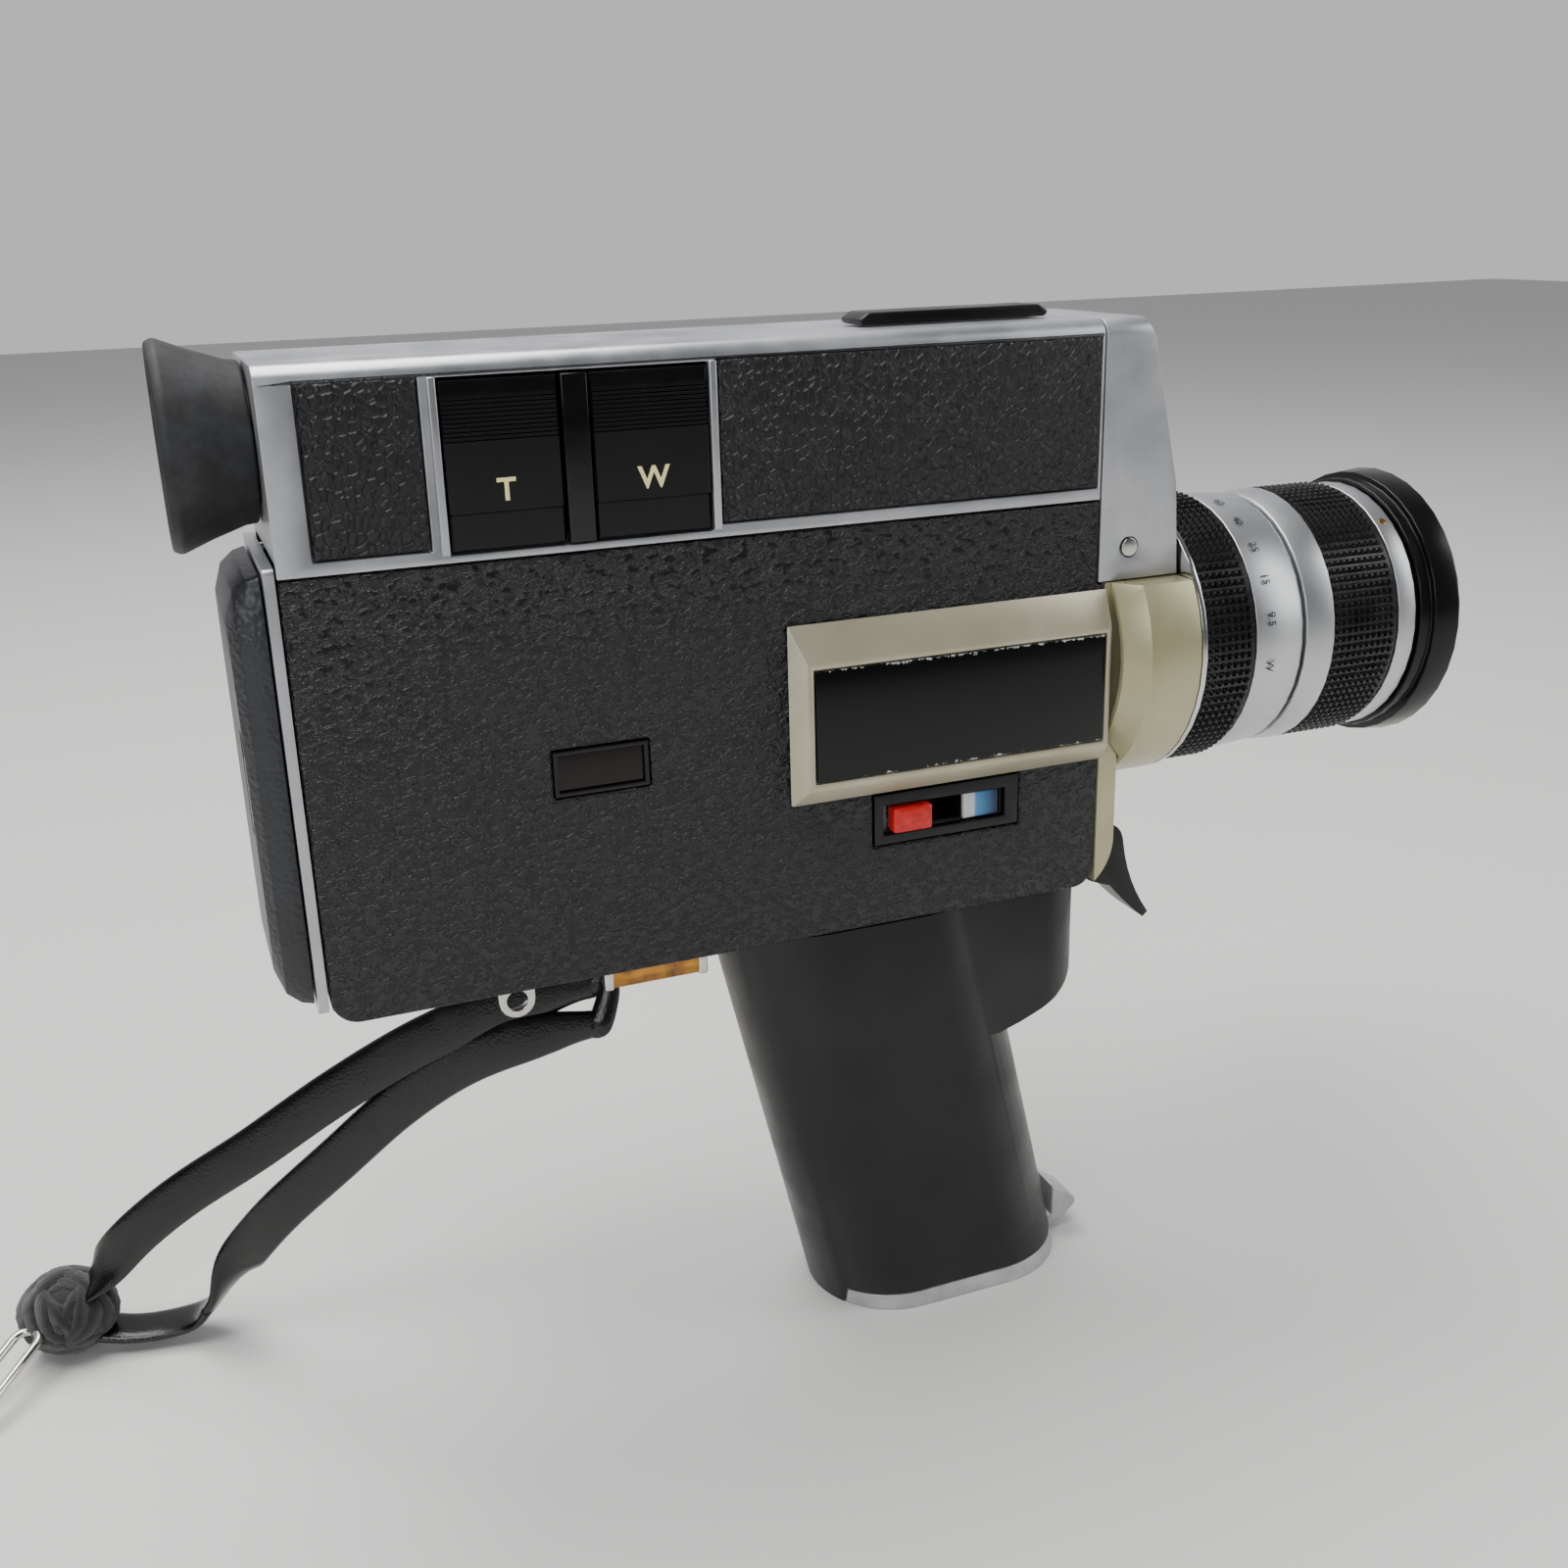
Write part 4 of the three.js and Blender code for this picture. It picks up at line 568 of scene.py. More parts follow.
def rounded_box(low, high, radius, segments=3):
    """A box's mesh with rolled edges, between two corners."""
    bm = bmesh.new()
    bmesh.ops.create_cube(bm, size=1)
    for vert in bm.verts:
        vert.co = Vector([low[k] if vert.co[k] < 0 else high[k] for k in range(3)])
    bmesh.ops.bevel(bm, geom=bm.edges[:], offset=radius, segments=segments, profile=0.5, affect="EDGES",
                    clamp_overlap=True)
    mesh = bpy.data.meshes.new("rounded")
    bm.to_mesh(mesh)
    bm.free()
    return mesh


# Each run is folded up round the bar, so that its gathered end meets the bar and doesn't stop in the air.
for fold_name, start in (("upper", UPPER_RUN[0]), ("lower", LOWER_RUN[0])):
    fold_end = Vector((bar_low.x / MM + 0.6, (bar_low.y + bar_high.y) / 2 / MM, bar_low.z / MM + 1.4))
    first = Vector(start)
    half_way = (first + fold_end) / 2 + Vector((0.6, 0, 0.4))
    fold_points = [first + Vector((-1.0, 0.8, -0.4)), first, half_way, fold_end]
    fold_path = smooth_path([point * MM for point in fold_points], 8)

    def fold_section(point, along, share):
        across = along.cross(STRAP_FACES).normalized()
        normal = along.cross(across).normalized()
        half = STRAP_WIDTH * (GATHERED_WIDTH + 0.04 - 0.2 * share) / 2
        return [point + across * (cos(2 * pi * k / STRAP_SIDES) * half)
                + normal * (sin(2 * pi * k / STRAP_SIDES) * STRAP_THICK / 2) for k in range(STRAP_SIDES)]

    fold_mesh = swept("strap_fold_" + fold_name, fold_path, STRAP_SIDES, fold_section)
    piece("strap_fold_" + fold_name, fold_mesh, vinyl, "camera_body", "strap_vinyl", (), 60)

CAP_WIDE = 1.7 * MM
CAP_PROUD = 0.25 * MM
for end, cap_x in (("rear", bar_low.x), ("front", bar_high.x)):
    cap_low = Vector((cap_x - CAP_WIDE / 2, bar_low.y - CAP_PROUD, bar_low.z - CAP_PROUD))
    cap_high = Vector((cap_x + CAP_WIDE / 2, bar_high.y + CAP_PROUD, bar_high.z))
    piece("bar_cap_" + end, rounded_box(cap_low, cap_high, 0.5 * MM), nickel, "camera_body", "bright_metal")


# ---- Side covers and bottom plate ----
# The two covers are pressed from aluminium sheet and sprayed with a coarse black crackle coat, which shows as
# small hard wrinkles that glint. They screw to the casting and leave a thin bright line round the body.
def crackle_coat():
    made, tree, shader = material("crackle_enamel", "#08080a", 0.3, Specular_IOR_Level=0.5)
    place = node(tree, "TexCoord").outputs["Object"]
    warp = node(tree, "TexNoise", {"Vector": place, "Scale": 1 / (2.2 * MM), "Detail": 2})
    bent = node(tree, "VectorMath", {0: warp.outputs["Color"], "Scale": 1.6 * MM}, operation="SCALE")
    moved = node(tree, "VectorMath", {0: place, 1: bent}, operation="ADD")
    stretched = node(tree, "Mapping", {"Vector": moved, "Scale": (0.7, 1, 1.2)})
    wrinkles = node(tree, "TexNoise", {"Vector": stretched, "Scale": 1 / (1.5 * MM), "Detail": 3,
                                       "Roughness": 0.6})
    wrinkle_relief_and_shade = node(tree, "MapRange", {"Value": wrinkles, "From Min": 0.38, "From Max": 0.58},
                 interpolation_type="SMOOTHSTEP")
    node(tree, "Bump", {"Height": wrinkle_relief_and_shade, "Strength": 1.0, "Distance": 0.42 * MM},
         to=shader.inputs["Normal"])
    # The low parts between the wrinkles are painted darker and the raised tops paler: painted shade in the hollows.
    node(tree, "ValToRGB", {"Fac": wrinkle_relief_and_shade}, stops=[(0, "#040405"), (1, "#0f1012")],
         to=shader.inputs["Base Color"])
    node(tree, "MapRange", {"Value": wrinkles, "From Min": 0.35, "From Max": 0.65, "To Min": 0.5,
                            "To Max": 0.24}, to=shader.inputs["Roughness"])
    return made


crackle = crackle_coat()
stand_in("right_cover", crackle, 0.55)
stand_in("left_cover", crackle, 0.55)
stand_in("bottom_plate", crackle, 0.25)


# ---- Window over the cartridge label ----
# A black moulded pane in the right cover. Behind its polished face the film cartridge shows very dark brown.
def smoked_pane():
    made, tree, shader = material("smoked_acrylic", "#080403", 0.12, Specular_IOR_Level=0.3)
    place = node(tree, "TexCoord").outputs["Object"]
    haze = node(tree, "TexNoise", {"Vector": place, "Scale": 1 / (5 * MM), "Detail": 3})
    node(tree, "ValToRGB", {"Fac": haze}, stops=[(0, "#040303"), (1, "#160a06")],
         to=shader.inputs["Base Color"])
    return made


# Moulded satin black ABS, finely spark-eroded so that it breaks up reflections.
def satin_moulding():
    made, tree, shader = material("satin_abs", "#060607", 0.42, Specular_IOR_Level=0.4)
    place = node(tree, "TexCoord").outputs["Object"]
    raised(tree, place, shader, 0.22 * MM, 3, 0.18, 0.05 * MM)
    handled(tree, place, shader, 14 * MM, 6, (0.35, 0.68), (0.3, 0.5))
    return made


satin_black = satin_moulding()
stand_in("cartridge_window", smoked_pane(), 0.12)


def frame_of(outer_low, outer_high, rim, deep_low, deep_high):
    """A flat rectangular frame in the X-Z plane, rim wide all round, between two y values."""
    verts = []
    for y in (deep_low, deep_high):
        for grow in (0, rim):
            x0, x1 = outer_low[0] + grow, outer_high[0] - grow
            z0, z1 = outer_low[1] + grow, outer_high[1] - grow
            verts += [(x0, y, z0), (x1, y, z0), (x1, y, z1), (x0, y, z1)]
    faces = []
    for k in range(4):
        j = (k + 1) % 4
        faces += [(k, j, 4 + j, 4 + k), (8 + k, 8 + j, 12 + j, 12 + k),
                  (k, j, 8 + j, 8 + k), (4 + k, 4 + j, 12 + j, 12 + k)]
    mesh = meshed("frame", verts, faces)
    bm = bmesh.new()
    bm.from_mesh(mesh)
    bmesh.ops.bevel(bm, geom=bm.edges[:], offset=min(rim, deep_high - deep_low) * 0.22, segments=2,
                    profile=0.5, affect="EDGES", clamp_overlap=True)
    bm.to_mesh(mesh)
    bm.free()
    return mesh


pane_low, pane_high = [Vector(corner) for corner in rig.box("cartridge_window")]
window_rim = frame_of((pane_low.x, pane_low.z), (pane_high.x, pane_high.z), 0.75 * MM,
                      pane_low.y - 0.55 * MM, pane_low.y + 0.1 * MM)
piece("window_rim", window_rim, satin_black, "camera_body", "satin_black")


# ---- Filter selector ----
# A recessed black moulding with a short slot. A red acetal knob slides in it, and a painted flag at the
# front end shows which filter is in: grey-white at its rear third and blue ahead of it.
stand_in("selector_plate", satin_black, 0.2)


# Red acetal: waxy, with soft round highlights and edges rubbed a little paler.
def red_acetal():
    made, tree, shader = material("red_acetal", "#c4120f", 0.3, IOR=1.48, Subsurface_Weight=0.08)
    shader.inputs["Subsurface Radius"].default_value = (0.6 * MM, 0.15 * MM, 0.1 * MM)
    place = node(tree, "TexCoord").outputs["Object"]
    rub = node(tree, "TexNoise", {"Vector": place, "Scale": 1 / (1.4 * MM), "Detail": 5})
    node(tree, "ValToRGB", {"Fac": rub}, stops=[(0.3, "#ac0d0c"), (0.75, "#dc2a22")],
         to=shader.inputs["Base Color"])
    return made


def flag_enamel(rear_x, length):
    """Printed enamel: the colour changes along X, with a soft dark fade to its front end."""
    made, tree, shader = material("flag_enamel", "#3f7fb4", 0.38)
    place = node(tree, "TexCoord").outputs["Object"]
    parts = node(tree, "SeparateXYZ", {0: place})
    along = node(tree, "MapRange", {"Value": parts.outputs["X"], "From Min": rear_x,
                                    "From Max": rear_x + length})
    node(tree, "ValToRGB", {"Fac": along}, stops=[(0.3, "#c9ced3"), (0.9, "#16324f"), (0.36, "#4a90c6")],
         to=shader.inputs["Base Color"])
    raised(tree, place, shader, 0.5 * MM, 4, 0.1, 0.05 * MM)
    return made


stand_in("selector_knob", red_acetal(), 0.55)
flag_low, flag_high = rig.box("filter_flag")
stand_in("filter_flag", flag_enamel(flag_low[0], flag_high[0] - flag_low[0]), 0.1)


# ---- Bezels, nameplate and speed dial ----
# A die-cast bezel stands on each side, with sloping sides under champagne lacquer that is chipped to bare
# metal in a few places. The right one holds a polished black plate, left blank. The left holds the dial.
def champagne_lacquer(name, code, deeper):
    """Lacquer over a casting: satin, with a fine metallic speckle, cloudy handling marks and small chips."""
    made, tree, shader = material(name, code, 0.36, 0.45, Coat_Weight=0.3, Coat_Roughness=0.28)
    place = node(tree, "TexCoord").outputs["Object"]
    clouds = node(tree, "TexNoise", {"Vector": place, "Scale": 1 / (18 * MM), "Detail": 5})
    tone = node(tree, "ValToRGB", {"Fac": clouds}, stops=[(0.33, deeper), (0.62, code)])
    chips = node(tree, "TexNoise", {"Vector": place, "Scale": 1 / (3.1 * MM), "Detail": 7,
                                    "Roughness": 0.68})
    bare = node(tree, "MapRange", {"Value": chips, "From Min": 0.735, "From Max": 0.75})
    node(tree, "MixRGB", {0: bare, 1: tone, 2: hex_colour("#6c6a62")}, to=shader.inputs["Base Color"])
    flakes = node(tree, "TexNoise", {"Vector": place, "Scale": 1 / (0.3 * MM), "Detail": 2})
    sunk = node(tree, "Math", {0: flakes, 1: bare}, operation="SUBTRACT")
    node(tree, "Bump", {"Height": sunk, "Strength": 0.12, "Distance": 0.08 * MM},
         to=shader.inputs["Normal"])
    return made


champagne = champagne_lacquer("champagne_lacquer", "#b9b49c", "#a8a286")
stand_in("bezel_right", champagne, 0.35)
stand_in("bezel_left", champagne, 0.35)


def gloss_plate(low, high):
    """Polished black enamel: worn through to bright metal along the long edges, with scattered chips."""
    made, tree, shader = material("polished_enamel", "#040405", 0.14, Specular_IOR_Level=0.3)
    place = node(tree, "TexCoord").outputs["Object"]
    parts = node(tree, "SeparateXYZ", {0: place})
    middle_z = (low[2] + high[2]) / 2
    from_middle = node(tree, "Math", {0: parts.outputs["Z"], 1: middle_z}, operation="SUBTRACT")
    away = node(tree, "Math", {0: from_middle}, operation="ABSOLUTE")
    edge = node(tree, "MapRange", {"Value": away, "From Min": (high[2] - low[2]) / 2 - 0.8 * MM,
                                   "From Max": (high[2] - low[2]) / 2, "To Min": 0, "To Max": 0.22})
    front = node(tree, "MapRange", {"Value": parts.outputs["X"], "From Min": low[0], "From Max": high[0],
                                    "To Min": 0.0, "To Max": 0.045})
    chips = node(tree, "TexNoise", {"Vector": place, "Scale": 1 / (1.5 * MM), "Detail": 8,
                                    "Roughness": 0.72})
    nearer = node(tree, "Math", {0: chips, 1: edge}, operation="ADD")
    total = node(tree, "Math", {0: nearer, 1: front}, operation="ADD")
    bare = node(tree, "MapRange", {"Value": total, "From Min": 0.75, "From Max": 0.77})
    node(tree, "MixRGB", {0: bare, 1: hex_colour("#040405"), 2: hex_colour("#b9bab8")},
         to=shader.inputs["Base Color"])
    node(tree, "MapRange", {"Value": bare, "To Min": 0.12, "To Max": 0.5}, to=shader.inputs["Roughness"])
    sunk = node(tree, "Math", {0: 1.0, 1: bare}, operation="SUBTRACT")
    node(tree, "Bump", {"Height": sunk, "Strength": 0.5, "Distance": 0.06 * MM},
         to=shader.inputs["Normal"])
    return made


plate_low, plate_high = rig.box("nameplate")
stand_in("nameplate", gloss_plate(plate_low, plate_high), 0.2)


# Turned and clear-anodised aluminium: bright silver-grey, with fine lines that run round the turning axis.
def turned_aluminium(name, code, roughness, axis, pitch=0.22):
    made, tree, shader = material(name, code, roughness, 1.0)
    place = node(tree, "TexCoord").outputs["Object"]
    parts = node(tree, "SeparateXYZ", {0: place})
    lines = node(tree, "TexNoise", {"W": parts.outputs[axis], "Scale": 1 / (pitch * MM), "Detail": 3},
                 noise_dimensions="1D")
    node(tree, "Bump", {"Height": lines, "Strength": 0.25, "Distance": 0.03 * MM},
         to=shader.inputs["Normal"])
    handled(tree, place, shader, 12 * MM, 6, (0.35, 0.66), (roughness - 0.03, roughness + 0.05))
    return made


stand_in("speed_dial", turned_aluminium("faced_aluminium", "#c6c7c8", 0.3, "Y"), 0.3)
dial_low, dial_high = [Vector(corner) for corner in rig.box("speed_dial")]
dial_middle = (dial_low + dial_high) / 2


# Printed lettering is a thin film of matt enamel that stands just proud of the surface.
def print_ink(name, code):
    made, tree, shader = material(name, code, 0.5)
    place = node(tree, "TexCoord").outputs["Object"]
    worn = node(tree, "TexNoise", {"Vector": place, "Scale": 1 / (0.4 * MM), "Detail": 5})
    node(tree, "MapRange", {"Value": worn, "To Min": 0.4, "To Max": 0.62}, to=shader.inputs["Roughness"])
    return made


def lettering(text, height, put_at, thick=0.08 * MM, bold=0.0):
    """Lettering as a solid mesh: put_at turns (right, up, out) into a place on the object."""
    curve = bpy.data.curves.new("letters", "FONT")
    curve.body = text
    curve.size = height / 0.7
    curve.align_x = "CENTER"
    curve.extrude = thick / 2
    curve.offset = bold
    curve.resolution_u = 4
    holder = put("letters", curve)
    mesh = bpy.data.meshes.new_from_object(holder)
    middle = (min(v.co.y for v in mesh.vertices) + max(v.co.y for v in mesh.vertices)) / 2
    for vert in mesh.vertices:
        vert.co = put_at(vert.co.x, vert.co.y - middle, vert.co.z + thick / 2)
    bpy.data.objects.remove(holder)
    bpy.data.curves.remove(curve)
    mesh.materials.clear()
    bm = bmesh.new()
    bm.from_mesh(mesh)
    bmesh.ops.remove_doubles(bm, verts=bm.verts, dist=0.001 * MM)
    bmesh.ops.recalc_face_normals(bm, faces=bm.faces)
    bm.to_mesh(mesh)
    bm.free()
    return mesh


black_ink = print_ink("black_ink", "#151515")
DIAL_NUMBERS = ("8", "18", "24", "36")
DIAL_NUMBERS_R = 6.2 * MM
for i, number in enumerate(DIAL_NUMBERS):
    turn = radians(48 - 32 * i)

    def on_dial(u, v, w, turn=turn):
        # seen from the left-hand side, so right is towards -X
        x = -u * cos(turn) + (DIAL_NUMBERS_R + v) * sin(turn)
        z = u * sin(turn) + (DIAL_NUMBERS_R + v) * cos(turn)
        return Vector((dial_middle.x + x, dial_high.y - 0.04 * MM + w, dial_middle.z + z))

    piece("dial_number_" + number, lettering(number, 1.9 * MM, on_dial, 0.04 * MM), black_ink, "speed_dial",
          "gloss_black", (), 40)


# ---- Front plate, lens collar and trigger ----
# One lacquered casting closes the front of the body and carries the lens collar. The black trigger hangs in
# a slot below on a steel pin: a stamped channel with a hooked lower end.
cream = champagne_lacquer("cream_lacquer", "#b5b08c", "#a29d78")
stand_in("front_plate", cream, 0.5)
stand_in("lens_collar", cream, 0.4)
stand_in("collar_ring", turned_aluminium("polished_ring", "#d2d2d0", 0.16, "X"), 0.15)
stand_in("trigger", satin_black, 0.35)


# ---- Upper housing ----
# A die-cast top cover, bead-blasted and clear-lacquered to a cool satin silver. Its edges are rubbed bright,
# and a coarser blasted strip shows under the zoom keys.
def satin_casting():
    made, tree, shader = material("blasted_silver_lacquer", "#b5b7ba", 0.36, 0.85, Coat_Weight=0.15,
                                  Coat_Roughness=0.3)
    place = node(tree, "TexCoord").outputs["Object"]
    raised(tree, place, shader, 0.28 * MM, 3, 0.3, 0.04 * MM)
    marks = node(tree, "TexNoise", {"Vector": place, "Scale": 1 / (16 * MM), "Detail": 7,
                                    "Roughness": 0.6})
    node(tree, "ValToRGB", {"Fac": marks}, stops=[(0.34, "#a6a9ad"), (0.6, "#bcbec1")],
         to=shader.inputs["Base Color"])
    node(tree, "MapRange", {"Value": marks, "From Min": 0.35, "From Max": 0.65, "To Min": 0.3,
                            "To Max": 0.44}, to=shader.inputs["Roughness"])
    return made


silver = satin_casting()
stand_in("top_cover", silver, 0.6)
stand_in("front_cap", silver, 0.55)
stand_in("top_strip", satin_black, 0.4)
stand_in("cap_screw_left", nickel, 0.12)
stand_in("cap_screw_right", nickel, 0.12)


# ---- Leather panels ----
# Grained vinyl leathercloth, glued into shallow recesses and wrapped over the top edge. Soft pillows of about
# a millimetre and a half stand between deep creases.
def leathercloth():
    made, tree, shader = material("vinyl_leathercloth", "#0e0f11", 0.42, Specular_IOR_Level=0.45)
    place = node(tree, "TexCoord").outputs["Object"]
    warp = node(tree, "TexNoise", {"Vector": place, "Scale": 1 / (2.5 * MM), "Detail": 3})
    bent = node(tree, "VectorMath", {0: warp.outputs["Color"], "Scale": 1.1 * MM}, operation="SCALE")
    moved = node(tree, "VectorMath", {0: place, 1: bent}, operation="ADD")
    stretched = node(tree, "Mapping", {"Vector": moved, "Scale": (1.2, 1, 0.85)})
    pillows = node(tree, "TexVoronoi", {"Vector": stretched, "Scale": 1 / (1.5 * MM)},
                   feature="DISTANCE_TO_EDGE")
    pillow_relief_and_shade = node(tree, "MapRange", {"Value": pillows, "From Min": 0.0, "From Max": 0.22},
                 interpolation_type="SMOOTHSTEP")
    pores = node(tree, "TexNoise", {"Vector": place, "Scale": 1 / (0.5 * MM), "Detail": 3})
    height = node(tree, "Math", {0: pores, 1: 0.3, 2: pillow_relief_and_shade}, operation="MULTIPLY_ADD")
    node(tree, "Bump", {"Height": height, "Strength": 1.0, "Distance": 0.3 * MM},
         to=shader.inputs["Normal"])
    # The creases between the pillows are painted darker than the pillow tops: painted shade in the creases.
    node(tree, "ValToRGB", {"Fac": pillow_relief_and_shade}, stops=[(0, "#030304"), (1, "#121316")],
         to=shader.inputs["Base Color"])
    return made


leather = leathercloth()
for panel in ("rear_leather_right", "front_leather_right", "leather_left"):
    stand_in(panel, leather, 0.4)


# ---- Zoom keys ----
# Two rocking keys in polished black ABS. Ten fine grip ribs cross the top of each, and a step near the bottom
# makes a lower flange. The tele key carries a T and the wide key a W, filled with pale yellow paint.
def polished_abs():
    made, tree, shader = material("polished_abs", "#050506", 0.14, Specular_IOR_Level=0.4)
    place = node(tree, "TexCoord").outputs["Object"]
    swirl = node(tree, "TexNoise", {"Vector": place, "Scale": 1 / (6 * MM), "Detail": 8, "Roughness": 0.7})
    node(tree, "MapRange", {"Value": swirl, "From Min": 0.35, "From Max": 0.7, "To Min": 0.1,
                            "To Max": 0.3}, to=shader.inputs["Roughness"])
    return made


gloss_black = polished_abs()
RIB_COUNT = 10
RIB_TOP = 5.2  # below the key's top edge
RIB_PITCH = 0.66
RIB_DEEP = 0.34
STEP_UP = 5.6  # the flange's height at the bottom
STEP_DEEP = 0.55
KEY_EASE = 0.5


def key_profile(low, high):
    """The key's section, as (y, z) points from the back of its top edge, down the face, to its back."""
    face, back, top, bottom = low.y / MM, high.y / MM, high.z / MM, low.z / MM
    line = [(back, top), (face + KEY_EASE, top), (face + KEY_EASE * 0.3, top - KEY_EASE * 0.3),
            (face, top - KEY_EASE)]
    z = top - RIB_TOP + RIB_COUNT * RIB_PITCH / 2
    z = min(z, top - 2.6)
    for _ in range(RIB_COUNT):
        line += [(face, z), (face + RIB_DEEP, z - RIB_PITCH * 0.18), (face + RIB_DEEP, z - RIB_PITCH * 0.42),
                 (face, z - RIB_PITCH * 0.62)]
        z -= RIB_PITCH
    step = bottom + STEP_UP
    line += [(face, step + 0.2), (face + STEP_DEEP, step - 0.15), (face + STEP_DEEP, bottom + 0.4),
             (face + STEP_DEEP + 0.4, bottom), (back, bottom)]
    return line


yellow_fill = print_ink("yellow_fill", "#efe3a4")
KEY_ROUNDING = 0.32 * MM
LETTER_TALL = 3.3 * MM
for cad_node, letter in (("tele_key", "T"), ("wide_key", "W")):
    key_low, key_high = [Vector(corner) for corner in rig.box(cad_node)]
    section = key_profile(key_low, key_high)
    count = len(section)
    ends = [(key_low.x, KEY_ROUNDING), (key_low.x + KEY_ROUNDING, 0),
            (key_high.x - KEY_ROUNDING, 0), (key_high.x, KEY_ROUNDING)]
    verts = []
    for x, inset in ends:
        verts += [(x, min(y * MM + inset, key_high.y), z * MM) for y, z in section]
    faces = [tuple(range(count))[::-1], tuple(range(3 * count, 4 * count))]
    for ring in range(3):
        for k in range(count):
            j = (k + 1) % count
            this, later = ring * count, (ring + 1) * count
            faces.append((this + k, this + j, later + j, later + k))
    piece(cad_node + "_made", meshed(cad_node + "_made", verts, faces), gloss_black, body_of[cad_node],
          "gloss_black", [cad_node], 25)
    letter_middle = Vector(((key_low.x + key_high.x) / 2, key_low.y, key_low.z + 9 * MM))

    def on_key(u, v, w, middle=letter_middle):
        return middle + Vector((u, 0.03 * MM - w, v))

    letter_mesh = lettering(letter, LETTER_TALL, on_key, 0.08 * MM, 0.1 * MM)
    piece("letter_" + letter, letter_mesh, yellow_fill, body_of[cad_node], "cream_paint", (), 40)
stand_in("key_divider", gloss_black, 0.25)

POST_GAP = 0.35
POST_REACH = 1.7
for side_name, side_x in (("rear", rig.box("tele_key")[0][0]), ("front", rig.box("wide_key")[1][0])):
    outward = -1 if side_name == "rear" else 1
    near, far = side_x + outward * POST_GAP * MM, side_x + outward * POST_REACH * MM
    post_low = Vector((min(near, far), key_low.y + 0.1 * MM, key_low.z - 0.3 * MM))
    post_high = Vector((max(near, far), key_low.y + 1.4 * MM, key_high.z + 0.6 * MM))
    piece("key_post_" + side_name, rounded_box(post_low, post_high, 0.3 * MM), silver, "camera_body",
          "satin_silver_metal")


# ---- Eyepiece ----
# A flared eyecup of moulded black rubber pushes over a black-anodised tube at the back of the housing. The
# rubber is matt, with a pale bloom of dust and skin oil on its flare.
def eyecup_rubber():
    made, tree, shader = material("moulded_rubber", "#17181a", 0.66, IOR=1.5)
    place = node(tree, "TexCoord").outputs["Object"]
    dust = node(tree, "TexNoise", {"Vector": place, "Scale": 1 / (9 * MM), "Detail": 8, "Roughness": 0.65})
    node(tree, "ValToRGB", {"Fac": dust}, stops=[(0.42, "#131416"), (0.72, "#34363a")],
         to=shader.inputs["Base Color"])
    raised(tree, place, shader, 0.5 * MM, 4, 0.3, 0.08 * MM)
    return made


# Black-anodised aluminium: satin, with faint turning lines and a cool sheen where light grazes it.
def black_anodised():
    made, tree, shader = material("black_anodised_aluminium", "#0d0d0f", 0.32, 0.35)
    place = node(tree, "TexCoord").outputs["Object"]
    parts = node(tree, "SeparateXYZ", {0: place})
    lines = node(tree, "TexNoise", {"W": parts.outputs["X"], "Scale": 1 / (0.25 * MM), "Detail": 3},
                 noise_dimensions="1D")
    node(tree, "Bump", {"Height": lines, "Strength": 0.2, "Distance": 0.03 * MM},
         to=shader.inputs["Normal"])
    handled(tree, place, shader, 7 * MM, 6, (0.35, 0.68), (0.24, 0.42))
    return made


# Ground optical glass with a faint blue-violet coating and a trace of dust.
def coated_glass():
    made, tree, shader = material("coated_glass", "#dfe6f2", 0.02, IOR=1.52, Transmission_Weight=0.92)
    place = node(tree, "TexCoord").outputs["Object"]
    handled(tree, place, shader, 1.2 * MM, 6, (0.55, 0.8), (0.01, 0.12))
    shader.inputs["Coat Weight"].default_value = 0.7
    shader.inputs["Coat Tint"].default_value = hex_colour("#8f9bff")
    return made


black_metal = black_anodised()
glass = coated_glass()
stand_in("eyecup", eyecup_rubber(), 0.5, 40, 3, 40)
stand_in("eyepiece_tube", black_metal, 0.25)
stand_in("eyepiece_lens", glass, 0.2)
stand_in("finder_prism", glass, 0.25)


# ---- Rear door ----
# The film door closes the back of the body: a cast silver rim on a hinge, with a padded hump of leathercloth
# stretched over a pressed panel. A small sliding latch stands in a pocket in the hump.
stand_in("rear_door", silver, 0.45)


# The hump's leathercloth has a finer, pebbled grain and is polished along its rolled edges.
def pebble_cloth():
    made, tree, shader = material("pebbled_leathercloth", "#15171a", 0.4)
    place = node(tree, "TexCoord").outputs["Object"]
    pebbles = node(tree, "TexVoronoi", {"Vector": place, "Scale": 1 / (0.85 * MM)}, feature="SMOOTH_F1")
    node(tree, "Bump", {"Height": pebbles.outputs["Distance"], "Strength": 0.7, "Distance": -0.22 * MM},
         to=shader.inputs["Normal"])
    rub = node(tree, "TexNoise", {"Vector": place, "Scale": 1 / (20 * MM), "Detail": 5})
    node(tree, "ValToRGB", {"Fac": rub}, stops=[(0.36, "#0e0f11"), (0.66, "#23262b")],
         to=shader.inputs["Base Color"])
    return made


stand_in("door_skin", pebble_cloth(), 1.5, 28, 5)
stand_in("door_latch", satin_black, 0.35)


# ---- Lens rings ----
# The zoom lens is turned from aluminium bar. Clear-anodised silver rings alternate with black knurled grips,
# whose rows of small square points are cut straight round the ring.
def turned(name, profile, sides, shape=None):
    """A solid turned about the lens axis from a closed line of (x, radius) points in millimetres.

    shape(x, radius, turn) may change the radius, and cuts the knurl.
    """
    verts, faces = [], []
    for k in range(sides):
        turn = 2 * pi * k / sides
        for x, radius in profile:
            r = shape(x, radius, k) if shape else radius
            verts.append((x * MM, LENS_Y + r * MM * sin(turn), LENS_Z + r * MM * cos(turn)))
    count = len(profile)
    for k in range(sides):
        a, b = k * count, ((k + 1) % sides) * count
        for i in range(count):
            j = (i + 1) % count
            faces.append((a + i, a + j, b + j, b + i))
    return meshed(name, verts, faces)


